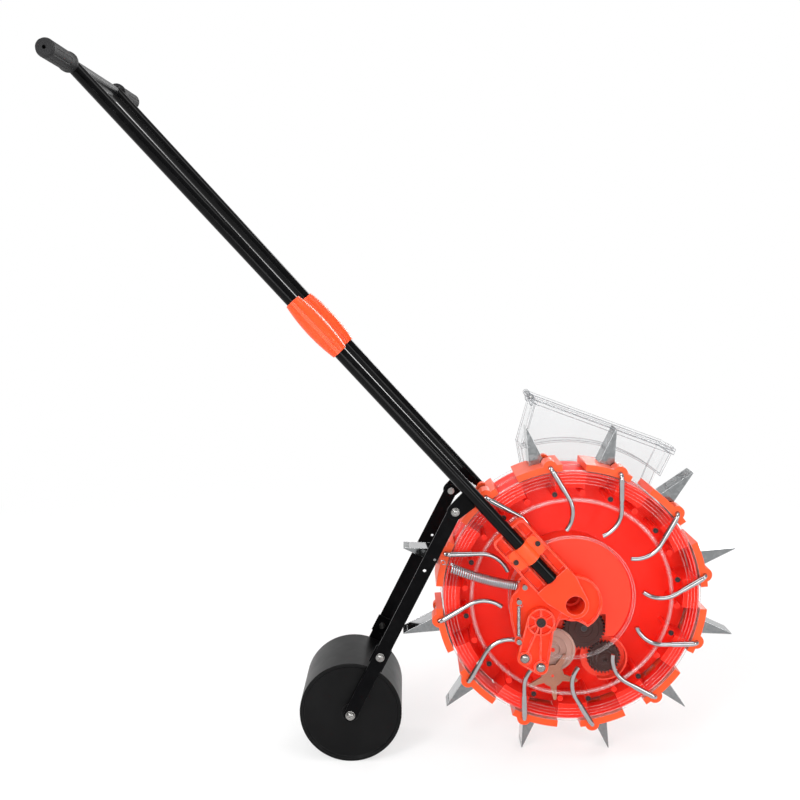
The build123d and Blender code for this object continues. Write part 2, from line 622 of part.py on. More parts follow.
# Clear covers: a face and a rim on the near side, and one shell on the far side
with BuildPart() as near_cover:
    with BuildSketch(Plane.XY):
        Polygon(
            (COVER_BORE_R, -COVER_INNER_Y),
            (COVER_BORE_R, -DRUM_HALF - COVER_LIP_RISE),
            (COVER_LIP_R, -DRUM_HALF - COVER_LIP_RISE),
            (COVER_LIP_R, -DRUM_HALF),
            (BEAD_R - BEAD_HALF, -DRUM_HALF),
            (BEAD_R - BEAD_HALF / 2, -DRUM_HALF - BEAD_RISE),
            (BEAD_R + BEAD_HALF / 2, -DRUM_HALF - BEAD_RISE),
            (BEAD_R + BEAD_HALF, -DRUM_HALF),
            (RIM_R, -DRUM_HALF),
            (RIM_R, -COVER_INNER_Y),
            align=None,
        )
    revolve(axis=Axis.Y)
    with BuildSketch(side_plane(-COVER_INNER_Y)):
        with PolarLocations(SCREW_CIRCLE_R, MOUTHS, start_angle=PIN_ANGLE):
            Circle(COVER_SCREW_R + FIT)
    extrude(amount=COVER_WALL, mode=Mode.SUBTRACT)
pieces["near_cover"] = near_cover.part

with BuildPart() as near_rim:
    with BuildSketch(side_plane(0)):
        Circle(RIM_R)
        Circle(RIM_R - COVER_WALL, mode=Mode.SUBTRACT)
    extrude(amount=COVER_INNER_Y)
    with Locations(*turned(TIP_ANGLES)):
        add(mouth_opening.part, mode=Mode.SUBTRACT)
pieces["near_rim"] = near_rim.part

with BuildPart() as far_cover:
    with BuildSketch(Plane.XY):
        Polygon(
            (COVER_BORE_R, COVER_INNER_Y),
            (RIM_R - COVER_WALL, COVER_INNER_Y),
            (RIM_R - COVER_WALL, 0),
            (RIM_R, 0),
            (RIM_R, DRUM_HALF),
            (BEAD_R + BEAD_HALF, DRUM_HALF),
            (BEAD_R + BEAD_HALF / 2, DRUM_HALF + BEAD_RISE),
            (BEAD_R - BEAD_HALF / 2, DRUM_HALF + BEAD_RISE),
            (BEAD_R - BEAD_HALF, DRUM_HALF),
            (COVER_BORE_R, DRUM_HALF),
            align=None,
        )
    revolve(axis=Axis.Y)
    with Locations(*turned(TIP_ANGLES)):
        add(mouth_opening.part, mode=Mode.SUBTRACT)
pieces["far_cover"] = far_cover.part


def pan_head_screw(xz, seat_y, length, shank_r):
    """Screw facing the near side, with a crossed recess, added to the part being built."""
    bar(xz, shank_r, seat_y + length, seat_y)
    bar(xz, SCREW_HEAD_R, seat_y, seat_y - SCREW_HEAD_H)
    with BuildSketch(side_plane(seat_y - SCREW_HEAD_H / 2)) as recess:
        with Locations(xz):
            Rectangle(SCREW_HEAD_R, SCREW_HEAD_R / 4)
            Rectangle(SCREW_HEAD_R / 4, SCREW_HEAD_R)
    extrude(recess.sketch, amount=SCREW_HEAD_H / 2, mode=Mode.SUBTRACT)


with BuildPart() as cover_screws:
    for angle in PIN_ANGLES:
        pan_head_screw(polar(SCREW_CIRCLE_R, angle), -DRUM_HALF, COVER_SCREW_LENGTH, COVER_SCREW_R)
pieces["cover_screws"] = cover_screws.part

# Mouth seat, drawn with its lever pin straight forward of the axle
seat_bore_r = RIM_R + SPRING_ROOM
knuckle_half = BEAK_HALF - BEAK_SHEET - FLAP_SIDE_ROOM
knuckle_r = ROD_R + KNUCKLE_WALL
PIN_XZ = (PIN_CIRCLE_R, 0)
with BuildPart() as seat:
    with BuildSketch(side_plane(SEAT_FAR_Y)):
        sector(seat_bore_r, SEAT_R, TIP_LEAD - SEAT_HALF_ANGLE, TIP_LEAD + SEAT_HALF_ANGLE)
    extrude(amount=SEAT_FAR_Y - SEAT_NEAR_Y)
    bar(PIN_XZ, BOSS_R, SEAT_NEAR_Y + BOSS_DEPTH, SEAT_NEAR_Y)
    bar(PIN_XZ, FAR_BOSS_R, SEAT_FAR_Y, BEAK_HALF + FLAP_SIDE_ROOM)
    bar((0, 0), seat_bore_r, SEAT_FAR_Y, SEAT_NEAR_Y, Mode.SUBTRACT)
    knuckle_room_y = BEAK_HALF + FLAP_SIDE_ROOM
    bar(PIN_XZ, knuckle_r + KNUCKLE_ROOM, knuckle_room_y, -knuckle_room_y, Mode.SUBTRACT)
    bar(PIN_XZ, ROD_R + RUN, SEAT_FAR_Y, SEAT_NEAR_Y, Mode.SUBTRACT)
    with Locations(*turned([TIP_LEAD])):
        add(mouth_opening.part, mode=Mode.SUBTRACT)
with BuildPart() as beak_seats:
    with Locations(*turned(PIN_ANGLES)):
        add(seat.part)
pieces["beak_seats"] = beak_seats.part

# Fixed beak: back wall, two side walls and a solid nose, open where the flap closes it
BEAK_FOOT_R = SEAT_R + SPRING_ROOM
nose_r = TIP_R - BEAK_NOSE
back_slope = (BEAK_BACK - TIP_BACK) / (TIP_R - BEAK_FOOT_R)
front_slope = (TIP_FRONT - BEAK_FRONT) / (TIP_R - BEAK_FOOT_R)
with BuildPart() as fixed_beak:
    with BuildSketch(side_plane(BEAK_HALF)):
        Polygon(
            (BEAK_FOOT_R, BEAK_BACK),
            (TIP_R, TIP_BACK),
            (TIP_R, TIP_FRONT),
            (BEAK_FOOT_R, BEAK_FRONT),
            align=None,
        )
    extrude(amount=2 * BEAK_HALF)
    with BuildSketch(side_plane(BEAK_HALF - BEAK_SHEET)):
        Polygon(
            (BEAK_FOOT_R, BEAK_BACK - BEAK_SHEET),
            (nose_r, TIP_BACK + back_slope * BEAK_NOSE - BEAK_SHEET),
            (nose_r, BEAK_FRONT),
            (BEAK_FOOT_R, 2 * BEAK_FRONT),
            align=None,
        )
    extrude(amount=2 * (BEAK_HALF - BEAK_SHEET), mode=Mode.SUBTRACT)
with BuildPart() as fixed_beaks:
    with Locations(*turned(TIP_ANGLES)):
        add(fixed_beak.part)
pieces["fixed_beaks"] = fixed_beaks.part

# Flap with its pin and bent lever, drawn with the pin straight forward of the axle
flap_end_r = nose_r - FLAP_SHEET
flap_foot_r = PIN_CIRCLE_R
flap_end_v = TIP_FRONT - front_slope * (TIP_R - flap_end_r)
flap_foot_v = TIP_FRONT - front_slope * (TIP_R - flap_foot_r)
pin_far_y = SEAT_FAR_Y - FLAP_SIDE_ROOM
heading = Vector(cos(radians(LEVER_HEADING)), 0, sin(radians(LEVER_HEADING)))
bend_start = Vector(PIN_CIRCLE_R, LEVER_Y + LEVER_BEND_R, 0)
bend_end = Vector(PIN_CIRCLE_R, LEVER_Y, 0) + heading * LEVER_BEND_R
straight_end = bend_end + heading * LEVER_STRAIGHT
curve_side = Vector(heading.Z, 0, -heading.X)
curve_turn = radians(LEVER_CURVE_TURN)
curve_end = straight_end + heading * (LEVER_CURVE_R * sin(curve_turn)) + curve_side * (
    LEVER_CURVE_R * (1 - cos(curve_turn))
)
with BuildPart() as flap:
    with BuildLine() as lever_route:
        Line((PIN_CIRCLE_R, pin_far_y, 0), bend_start)
        TangentArc(bend_start, bend_end, tangent=(0, -1, 0))
        Line(bend_end, straight_end)
        TangentArc(straight_end, curve_end, tangent=heading)
    with BuildSketch(Plane(origin=(PIN_CIRCLE_R, pin_far_y, 0), z_dir=(0, -1, 0))):
        Circle(ROD_R)
    sweep()
    with BuildSketch(Plane(origin=bend_end, z_dir=heading)):
        Circle(LEVER_SLEEVE_R)
    extrude(amount=LEVER_SLEEVE_LENGTH)
    bar(PIN_XZ, knuckle_r, knuckle_half, -knuckle_half)
    with BuildSketch(side_plane(knuckle_half)):
        with Locations(Location((0, 0, 0), (0, 0, TIP_LEAD))):
            Polygon(
                (flap_foot_r, flap_foot_v),
                (flap_end_r, flap_end_v),
                (flap_end_r, flap_end_v + FLAP_SHEET),
                (flap_foot_r, flap_foot_v + FLAP_SHEET),
                align=None,
            )
    extrude(amount=2 * knuckle_half)
for number, angle in enumerate(PIN_ANGLES, start=1):
    pieces[f"beak_flap_{number:02d}"] = flap.part.moved(Location((0, 0, 0), (0, -angle, 0)))


def tube_point(place, side):
    """Point on a handle tube's centre line, by its side-view distance from the axle."""
    share = (place - TUBE_FOOT) / (HANDLE_LENGTH - TUBE_FOOT)
    x, z = polar(place, HANDLE_ANGLE)
    return Vector(x, side * (TUBE_FOOT_Y + share * (TUBE_TOP_Y - TUBE_FOOT_Y)), z)


def tube_plane(place, side):
    """Plane square to a handle tube, with its local x towards the near side."""
    along = tube_point(HANDLE_LENGTH, side) - tube_point(TUBE_FOOT, side)
    return Plane(origin=tube_point(place, side), x_dir=(0, -1, 0), z_dir=along)


def tube_run(start, end, side):
    """Length along a handle tube between two side-view places."""
    return (tube_point(end, side) - tube_point(start, side)).length


def tube_cut(start, end, side):
    """Room for a handle tube, taken out of the part being built."""
    with BuildSketch(tube_plane(start, side)) as profile:
        Circle(TUBE_R + FIT)
    extrude(profile.sketch, amount=tube_run(start, end, side), mode=Mode.SUBTRACT)


# Handle: lower and upper tubes meet inside the sleeves, and the upper ones are cut to the crossbar
SLEEVE_END = SLEEVE_START + SLEEVE_LENGTH
TUBE_JOINT = (SLEEVE_START + SLEEVE_END) / 2
CROSSBAR_XZ = polar(HANDLE_LENGTH, HANDLE_ANGLE)
sleeves = []
sleeve_rings = ((SLEEVE_START, SLEEVE_END_R), (TUBE_JOINT, SLEEVE_MID_R), (SLEEVE_END, SLEEVE_END_R))
for name, side in (("near", -1), ("far", 1)):
    with BuildPart() as lower_tube:
        with BuildSketch(tube_plane(TUBE_FOOT, side)):
            Circle(TUBE_R)
            Circle(TUBE_R - TUBE_WALL, mode=Mode.SUBTRACT)
        extrude(amount=tube_run(TUBE_FOOT, TUBE_JOINT - FIT, side))
    pieces[f"{name}_lower_tube"] = lower_tube.part
    with BuildPart() as upper_tube:
        with BuildSketch(tube_plane(TUBE_JOINT, side)):
            Circle(TUBE_R)
            Circle(TUBE_R - TUBE_WALL, mode=Mode.SUBTRACT)
        extrude(amount=tube_run(TUBE_JOINT, HANDLE_LENGTH, side))
        bar(CROSSBAR_XZ, CROSSBAR_R + FIT, HANDLE_HALF, -HANDLE_HALF, Mode.SUBTRACT)
    pieces[f"{name}_upper_tube"] = upper_tube.part
    with BuildPart() as sleeve:
        for place, radius in sleeve_rings:
            with BuildSketch(tube_plane(place, side)):
                Circle(radius)
        loft()
        with BuildSketch(tube_plane(SLEEVE_START, side)):
            Rectangle(SLEEVE_MID_R + SLEEVE_RIDGE_RISE, SLEEVE_RIDGE, align=(Align.MIN, Align.CENTER))
        extrude(amount=tube_run(SLEEVE_START, SLEEVE_END, side))
        tube_cut(SLEEVE_START, SLEEVE_END, side)
    sleeves.append(sleeve.part)
pieces["sleeves"] = Compound(children=sleeves)

with BuildPart() as handlebar:
    bar(CROSSBAR_XZ, CROSSBAR_R, HANDLE_HALF - GRIP_CAP - FIT, GRIP_CAP + FIT - HANDLE_HALF)
    bar(CROSSBAR_XZ, CROSSBAR_R - TUBE_WALL, HANDLE_HALF, -HANDLE_HALF, Mode.SUBTRACT)
pieces["handlebar"] = handlebar.part

grip_start = HANDLE_HALF - GRIP_LENGTH
grip_axis = Axis((CROSSBAR_XZ[0], 0, CROSSBAR_XZ[1]), (0, 1, 0))
with BuildPart() as grip:
    with BuildSketch(Plane(origin=(CROSSBAR_XZ[0], 0, CROSSBAR_XZ[1]))):
        with BuildLine():
            Polyline(
                (GRIP_R, HANDLE_HALF - GRIP_CAP),
                (GRIP_R - GRIP_CAP / 3, HANDLE_HALF),
                (GRIP_HOLE_R, HANDLE_HALF),
                (GRIP_HOLE_R, HANDLE_HALF - GRIP_CAP),
                (CROSSBAR_R + FIT, HANDLE_HALF - GRIP_CAP),
                (CROSSBAR_R + FIT, grip_start),
                (GRIP_FLARE_R, grip_start),
                (GRIP_FLARE_R, grip_start + GRIP_CAP),
                (GRIP_R, grip_start + 2 * GRIP_CAP),
                close=True,
            )
        make_face()
    revolve(axis=grip_axis)
    with BuildSketch(side_plane(HANDLE_HALF - 2 * GRIP_CAP)):
        with Locations(CROSSBAR_XZ):
            with PolarLocations(GRIP_R + GRIP_FLUTE_R - GRIP_FLUTE_DEPTH, GRIP_FLUTES):
                Circle(GRIP_FLUTE_R)
    extrude(amount=GRIP_LENGTH - 6 * GRIP_CAP, mode=Mode.SUBTRACT)
pieces["grips"] = both_sides(grip.part)


def arm_plane(y):
    """Plane square to the axle with its local x along the handle, for the near bracket."""
    x, z = polar(1, HANDLE_ANGLE)
    return Plane(origin=(0, y, 0), x_dir=(x, 0, z), z_dir=(0, -1, 0))


def arm_face(inset):
    """Bracket arm seen from the side: a straight channel that narrows to a round nose at the axle."""
    with BuildSketch() as face:
        Circle(NOSE_R - inset)
        with Locations(((ARM_START + ARM_END) / 2, 0)):
            RectangleRounded(
                ARM_END - ARM_START - 2 * inset, 2 * (ARM_HALF - inset), ARM_CORNER_R - inset
            )
        make_hull(mode=Mode.REPLACE)
    return face.sketch


whole_arm = arm_face(0)
arm_inside = arm_face(BRACKET_RIB)


# Bracket moulding: ribbed arm for the tube, raised face with the axle socket, and a flanged ear
bracket_front_y = -BRACKET_BASE_Y - BRACKET_PLATE
clamp_seat_y = tube_point(CLAMP_PLACE, -1).Y
with BuildPart() as arm_moulding:
    with BuildSketch(arm_plane(-BRACKET_BASE_Y)):
        add(whole_arm)
    extrude(amount=BRACKET_PLATE)
    with BuildSketch(arm_plane(-BRACKET_BASE_Y)):
        add(whole_arm)
        add(arm_inside, mode=Mode.SUBTRACT)
    extrude(amount=BRACKET_RIM_Y - BRACKET_BASE_Y)
    with BuildSketch(arm_plane(-BRACKET_BASE_Y)):
        add(whole_arm)
        with Locations((TUBE_FOOT - FIT, 0)):
            Rectangle(ARM_END, 4 * ARM_HALF, align=(Align.MIN, Align.CENTER), mode=Mode.SUBTRACT)
    extrude(amount=BRACKET_FACE_Y - BRACKET_BASE_Y)
    with BuildSketch(arm_plane(-BRACKET_BASE_Y)):
        for offset_y in (-RAIL_OFFSET, RAIL_OFFSET):
            with Locations((TUBE_FOOT - BRACKET_RIB, offset_y)):
                Rectangle(ARM_END - TUBE_FOOT, BRACKET_RIB, align=(Align.MIN, Align.CENTER))
    extrude(amount=RAIL_Y - BRACKET_BASE_Y)
    with BuildSketch(arm_plane(-BRACKET_BASE_Y)):
        with Locations((CLAMP_PLACE, 0)):
            Rectangle(CLAMP_LENGTH, 2 * ARM_HALF - BRACKET_RIB)
    extrude(amount=-BRACKET_BASE_Y - clamp_seat_y)
    with BuildSketch(side_plane(-BRACKET_BASE_Y)):
        Circle(EAR_R)
        with Locations(EAR_BITE_XZ):
            Circle(EAR_BITE_R, mode=Mode.SUBTRACT)
    extrude(amount=BRACKET_PLATE)
    with BuildSketch(side_plane(-BRACKET_BASE_Y)):
        Circle(EAR_R)
        Circle(EAR_R - BRACKET_RIB, mode=Mode.SUBTRACT)
        with Locations(EAR_BITE_XZ):
            Circle(EAR_BITE_R, mode=Mode.SUBTRACT)
        with Locations(STRIKER_PIVOT):
            Circle(EAR_BITE_R, mode=Mode.SUBTRACT)
    extrude(amount=EAR_RIM_Y - BRACKET_BASE_Y)
    with BuildSketch(side_plane(-BRACKET_BASE_Y)):
        with Locations(EAR_BITE_XZ):
            Circle(EAR_BITE_R + BRACKET_RIB)
            Circle(EAR_BITE_R, mode=Mode.SUBTRACT)
        Circle(EAR_R, mode=Mode.INTERSECT)
        with Locations(STRIKER_PIVOT):
            Circle(EAR_BITE_R, mode=Mode.SUBTRACT)
    extrude(amount=EAR_RIM_Y - BRACKET_BASE_Y)
    tube_cut(TUBE_FOOT - FIT, ARM_END + ARM_HALF, -1)
    bar((0, 0), SOCKET_R, -BRACKET_BASE_Y, -BRACKET_FACE_Y, Mode.SUBTRACT)
    with BuildSketch(arm_plane(clamp_seat_y + CLAMP_SCREW_LENGTH)):
        with Locations((CLAMP_PLACE, CLAMP_SCREW_OFFSET), (CLAMP_PLACE, -CLAMP_SCREW_OFFSET)):
            Circle(COVER_SCREW_R + FIT)
    extrude(amount=CLAMP_SCREW_LENGTH, mode=Mode.SUBTRACT)

with BuildPart() as near_bracket:
    add(arm_moulding.part)
    with BuildSketch(side_plane(-BRACKET_BASE_Y)):
        Polygon(*LOBE, align=None)
        Circle(NOSE_R, mode=Mode.SUBTRACT)
    extrude(amount=BRACKET_PLATE)
    with BuildSketch(side_plane(-BRACKET_BASE_Y)):
        Polygon(*LOBE, align=None)
        offset(amount=-BRACKET_RIB, mode=Mode.SUBTRACT)
        Circle(NOSE_R, mode=Mode.SUBTRACT)
    extrude(amount=LOBE_RIM_Y - BRACKET_BASE_Y)
    bar(STRIKER_PIVOT, PIVOT_BOLT_R + FIT, -BRACKET_BASE_Y, bracket_front_y, Mode.SUBTRACT)
    for xz in (POST_SCREW_XZ, SPRING_POST_XZ):
        bar(xz, SPRING_POST_R + FIT, -BRACKET_BASE_Y, bracket_front_y, Mode.SUBTRACT)
pieces["near_bracket"] = near_bracket.part

with BuildPart() as far_bracket:
    mirror(arm_moulding.part, about=Plane.XZ)
pieces["far_bracket"] = far_bracket.part

# Tube clamps: an arched strap over each tube, and their screws
clamp_front_y = clamp_seat_y - CLAMP_PLATE
with BuildPart() as near_clamp:
    with BuildSketch(arm_plane(clamp_seat_y)):
        with Locations((CLAMP_PLACE, 0)):
            RectangleRounded(CLAMP_LENGTH, 2 * CLAMP_HALF, ARM_CORNER_R)
    extrude(amount=CLAMP_PLATE)
    with BuildSketch(tube_plane(CLAMP_PLACE - CLAMP_LENGTH / 2, -1)):
        Circle(CLAMP_ARCH_R)
        Rectangle(2 * CLAMP_ARCH_R, 4 * CLAMP_ARCH_R, align=(Align.MAX, Align.CENTER), mode=Mode.SUBTRACT)
    extrude(amount=CLAMP_LENGTH)
    with BuildSketch(arm_plane(clamp_seat_y + CLAMP_PLATE)):
        with Locations((CLAMP_PLACE, 0)):
            Rectangle(2 * CLAMP_LENGTH, 4 * CLAMP_HALF)
    extrude(amount=CLAMP_PLATE, mode=Mode.SUBTRACT)
    tube_cut(TUBE_FOOT, ARM_END + ARM_HALF, -1)
    with BuildSketch(arm_plane(clamp_seat_y)):
        with Locations((CLAMP_PLACE, CLAMP_SCREW_OFFSET), (CLAMP_PLACE, -CLAMP_SCREW_OFFSET)):
            Circle(COVER_SCREW_R + FIT)
    extrude(amount=CLAMP_PLATE, mode=Mode.SUBTRACT)
pieces["tube_clamps"] = both_sides(near_clamp.part)

with BuildPart() as near_clamp_screws:
    for offset_y in (-CLAMP_SCREW_OFFSET, CLAMP_SCREW_OFFSET):
        screw_place = arm_plane(0).from_local_coords((CLAMP_PLACE, offset_y, 0))
        pan_head_screw((screw_place.X, screw_place.Z), clamp_front_y, CLAMP_SCREW_LENGTH, COVER_SCREW_R)
pieces["clamp_screws"] = both_sides(near_clamp_screws.part)


def headed_bolt(xz, radius, head_r, head_h, far_y, head_y):
    """Bolt with its round head on the near side and a six-sided socket, added to the part being built."""
    bar(xz, radius, far_y, head_y)
    bar(xz, head_r, head_y, head_y - head_h)
    with BuildSketch(side_plane(head_y - head_h / 2)) as recess:
        with Locations(xz):
            RegularPolygon(head_r / 2, HEX_SIDES)
    extrude(recess.sketch, amount=head_h / 2, mode=Mode.SUBTRACT)


# Striker: ribbed lever on the near bracket, with two follower rollers behind its foot
def striker_face(inset):
    """Striker seen from the side: round head and two feet."""
    with BuildSketch() as face:
        with Locations(STRIKER_PIVOT):
            Circle(STRIKER_HEAD_R - inset)
        with Locations(*STRIKER_FOOT):
            Circle(STRIKER_FOOT_R - inset)
        make_hull(mode=Mode.REPLACE)
    return face.sketch


whole_striker = striker_face(0)
striker_inside = striker_face(STRIKER_RIB)
striker_floor_y = STRIKER_FAR_Y - STRIKER_PLATE
with BuildPart() as striker:
    with BuildSketch(side_plane(STRIKER_FAR_Y)):
        add(whole_striker)
        with Locations(STRIKER_LUG):
            Circle(STRIKER_LUG_R)
    extrude(amount=STRIKER_PLATE)
    with BuildSketch(side_plane(STRIKER_FAR_Y)):
        add(whole_striker)
        add(striker_inside, mode=Mode.SUBTRACT)
        with Locations(STRIKER_LUG):
            Circle(STRIKER_LUG_R, mode=Mode.SUBTRACT)
    extrude(amount=STRIKER_FAR_Y - STRIKER_NEAR_Y)
    with BuildSketch(side_plane(STRIKER_FAR_Y)):
        with Locations(STRIKER_PIVOT):
            Circle(STRIKER_HEAD_R)
            Circle(STRIKER_HEAD_R - STRIKER_RIB, mode=Mode.SUBTRACT)
            Circle(STRIKER_BOSS_R)
            with PolarLocations(0, STRIKER_SPOKES, start_angle=PITCH):
                Rectangle(STRIKER_HEAD_R - STRIKER_RIB, STRIKER_RIB, align=(Align.MIN, Align.CENTER))
        with Locations(*STRIKER_FOOT):
            Circle(STRIKER_FOOT_R - STRIKER_RIB / 2)
        for foot in STRIKER_FOOT:
            foot_angle, foot_distance = bearing(STRIKER_PIVOT, foot)
            with Locations(Location((STRIKER_PIVOT[0], STRIKER_PIVOT[1], 0), (0, 0, foot_angle))):
                Rectangle(foot_distance, STRIKER_RIB, align=(Align.MIN, Align.CENTER))
    extrude(amount=STRIKER_FAR_Y - STRIKER_NEAR_Y)
    bar(STRIKER_PIVOT, PIVOT_BOLT_R + RUN, STRIKER_FAR_Y, STRIKER_NEAR_Y, Mode.SUBTRACT)
    for foot in STRIKER_FOOT:
        bar(foot, FOOT_BOLT_R + FIT, STRIKER_FAR_Y, STRIKER_NEAR_Y, Mode.SUBTRACT)
        bar(foot, FOOT_HEAD_R + FOOT_HEAD_ROOM, STRIKER_NEAR_Y + FOOT_HEAD_H, STRIKER_NEAR_Y, Mode.SUBTRACT)
    bar(STRIKER_LUG, SPRING_POST_R + FIT, STRIKER_FAR_Y, striker_floor_y, Mode.SUBTRACT)
pieces["striker"] = striker.part

with BuildPart() as striker_pivot_bolt:
    headed_bolt(
        STRIKER_PIVOT, PIVOT_BOLT_R, PIVOT_HEAD_R, PIVOT_HEAD_H, -BRACKET_BASE_Y, STRIKER_NEAR_Y - SIDE_ROOM
    )
    bar(STRIKER_PIVOT, STRIKER_BOSS_R, bracket_front_y, STRIKER_FAR_Y + SIDE_ROOM)
pieces["striker_pivot_bolt"] = striker_pivot_bolt.part

follower_near_y = STRIKER_FAR_Y + SIDE_ROOM
follower_far_y = follower_near_y + FOLLOWER_WIDTH
with BuildPart() as striker_bolts:
    for foot in STRIKER_FOOT:
        head_y = STRIKER_NEAR_Y + FOOT_HEAD_H
        headed_bolt(foot, FOOT_BOLT_R, FOOT_HEAD_R, FOOT_HEAD_H, follower_far_y + SIDE_ROOM, head_y)
        bar(foot, FOLLOWER_CAP_R, follower_far_y + SIDE_ROOM + FOLLOWER_CAP_H, follower_far_y + SIDE_ROOM)
for name, foot in zip(("rear", "front"), STRIKER_FOOT):
    with BuildPart() as follower:
        bar(foot, FOLLOWER_R, follower_far_y, follower_near_y)
        bar(foot, FOOT_BOLT_R + RUN, follower_far_y, follower_near_y, Mode.SUBTRACT)
    pieces[f"{name}_follower"] = follower.part


def spring_post(xz, far_y, wire_y):
    """Screw post with a head in front of the spring wire, added to the part being built."""
    head_y = wire_y - SPRING_POST_HEAD_R
    bar(xz, SPRING_POST_R, far_y, head_y)
    bar(xz, SPRING_POST_HEAD_R, head_y, head_y - SPRING_POST_HEAD_H)


with BuildPart() as spring_posts:
    spring_post(POST_SCREW_XZ, -BRACKET_BASE_Y, SMALL_SPRING_Y)
    spring_post(SPRING_POST_XZ, -BRACKET_BASE_Y, BIG_SPRING_Y)
pieces["spring_posts"] = spring_posts.part

with striker_bolts:
    spring_post(STRIKER_LUG, STRIKER_FAR_Y, SMALL_SPRING_Y)
pieces["striker_bolts"] = striker_bolts.part

# Press wheel. The arms hang from lugs on the tubes and carry the roller on its axle.
ROLLER_XZ = (ROLLER_X, ROLLER_Z)
arm_angle, arm_length = bearing(ARM_PIVOT_XZ, ROLLER_XZ)
arm_across = polar(1, arm_angle + 90)


def arm_place(along, across=0.0):
    """Side-view point on the press arm, by distance from its pivot and across it."""
    step = polar(along, arm_angle)
    return (
        ARM_PIVOT_XZ[0] + step[0] + across * arm_across[0],
        ARM_PIVOT_XZ[1] + step[1] + across * arm_across[1],
    )


BRACE_XZ = arm_place(arm_length - BRACE_FROM_ROLLER)
SPRING_HOLE_XZ = arm_place(ARM_SPRING_FROM_PIVOT, ARM_SPRING_INSET)
arm_outer_y = PRESS_ARM_Y + PRESS_ARM_PLATE
with BuildPart() as near_press_arm:
    with BuildSketch(side_plane(-PRESS_ARM_Y)):
        with Locations(ARM_PIVOT_XZ, ROLLER_XZ):
            Circle(PRESS_ARM_HALF)
        make_hull(mode=Mode.REPLACE)
        with Locations(ARM_PIVOT_XZ):
            Circle(ARM_BOLT_R + RUN, mode=Mode.SUBTRACT)
        with Locations(ROLLER_XZ):
            Circle(PRESS_AXLE_R + FIT, mode=Mode.SUBTRACT)
        with Locations(BRACE_XZ):
            Circle(BRACE_BOLT_R + FIT, mode=Mode.SUBTRACT)
        with Locations(SPRING_HOLE_XZ):
            Circle(ARM_SPRING_HOLE_R, mode=Mode.SUBTRACT)
        with Locations(arm_place(ARM_HOLE_FROM_PIVOT)):
            Circle(ARM_HOLE_R, mode=Mode.SUBTRACT)
    extrude(amount=PRESS_ARM_PLATE)
pieces["near_press_arm"] = near_press_arm.part
with BuildPart() as far_press_arm:
    mirror(near_press_arm.part, about=Plane.XZ)
pieces["far_press_arm"] = far_press_arm.part

lug_place = HANDLE_ANGLE - bearing((0, 0), ARM_PIVOT_XZ)[0]
pivot_distance = hypot(*ARM_PIVOT_XZ)
lug_along = pivot_distance * cos(radians(lug_place))
lug_across = -pivot_distance * sin(radians(lug_place))
with BuildPart() as near_lug:
    with BuildSketch(arm_plane(-LUG_Y)):
        with Locations((lug_along, lug_across)):
            Circle(LUG_TIP_R)
        with Locations((lug_along, 0)):
            Rectangle(2 * LUG_HALF, TUBE_R)
        make_hull(mode=Mode.REPLACE)
        with Locations((lug_along, lug_across)):
            Circle(ARM_BOLT_R + FIT, mode=Mode.SUBTRACT)
    extrude(amount=LUG_PLATE)
    tube_cut(TUBE_FOOT, SLEEVE_START, -1)
pieces["arm_lugs"] = both_sides(near_lug.part)

with BuildPart() as near_arm_bolt:
    lug_outer_y = LUG_Y + LUG_PLATE
    headed_bolt(ARM_PIVOT_XZ, ARM_BOLT_R, ARM_BOLT_HEAD_R, ARM_BOLT_HEAD_H, -PRESS_ARM_Y, -lug_outer_y)
    bar(ARM_PIVOT_XZ, ARM_BOLT_HEAD_R, -arm_outer_y - SIDE_ROOM, -LUG_Y)
    bar(ARM_PIVOT_XZ, ARM_BOLT_HEAD_R, SIDE_ROOM + ARM_BOLT_HEAD_H - PRESS_ARM_Y, SIDE_ROOM - PRESS_ARM_Y)
    bar(ARM_PIVOT_XZ, ARM_BOLT_R, SIDE_ROOM + ARM_BOLT_HEAD_H - PRESS_ARM_Y, -PRESS_ARM_Y)
pieces["arm_pivot_bolts"] = both_sides(near_arm_bolt.part)

with BuildPart() as press_roller:
    face_r = ROLLER_R - ROLLER_RIM
    with BuildSketch(Plane(origin=(ROLLER_XZ[0], 0, ROLLER_XZ[1]))):
        Polygon(
            (PRESS_AXLE_R + RUN, -ROLLER_HALF),
            (ROLLER_HUB_R, -ROLLER_HALF),
            (ROLLER_HUB_R, ROLLER_DISH - ROLLER_HALF),
            (face_r, ROLLER_DISH - ROLLER_HALF),
            (face_r + ROLLER_DISH, -ROLLER_HALF),
            (ROLLER_R - ROLLER_CHAMFER, -ROLLER_HALF),
            (ROLLER_R, ROLLER_CHAMFER - ROLLER_HALF),
            (ROLLER_R, ROLLER_HALF - ROLLER_CHAMFER),
            (ROLLER_R - ROLLER_CHAMFER, ROLLER_HALF),
            (face_r + ROLLER_DISH, ROLLER_HALF),
            (face_r, ROLLER_HALF - ROLLER_DISH),
            (ROLLER_HUB_R, ROLLER_HALF - ROLLER_DISH),
            (ROLLER_HUB_R, ROLLER_HALF),
            (PRESS_AXLE_R + RUN, ROLLER_HALF),
            align=None,
        )
        hollow_end = ROLLER_HALF - ROLLER_DISH - ROLLER_WALL
        Polygon(
            (ROLLER_HUB_R, -hollow_end),
            (ROLLER_R - ROLLER_WALL, -hollow_end),
            (ROLLER_R - ROLLER_WALL, hollow_end),
            (ROLLER_HUB_R, hollow_end),
            align=None,
            mode=Mode.SUBTRACT,
        )
    revolve(axis=Axis((ROLLER_XZ[0], 0, ROLLER_XZ[1]), (0, 1, 0)))
    with BuildSketch(side_plane(ROLLER_HALF)):
        with Locations(ROLLER_XZ):
            with PolarLocations(ROLLER_FILL_CIRCLE_R, ROLLER_FILL_HOLES):
                Circle(ROLLER_FILL_R)
    extrude(amount=ROLLER_HALF - hollow_end, mode=Mode.SUBTRACT)
pieces["press_roller"] = press_roller.part

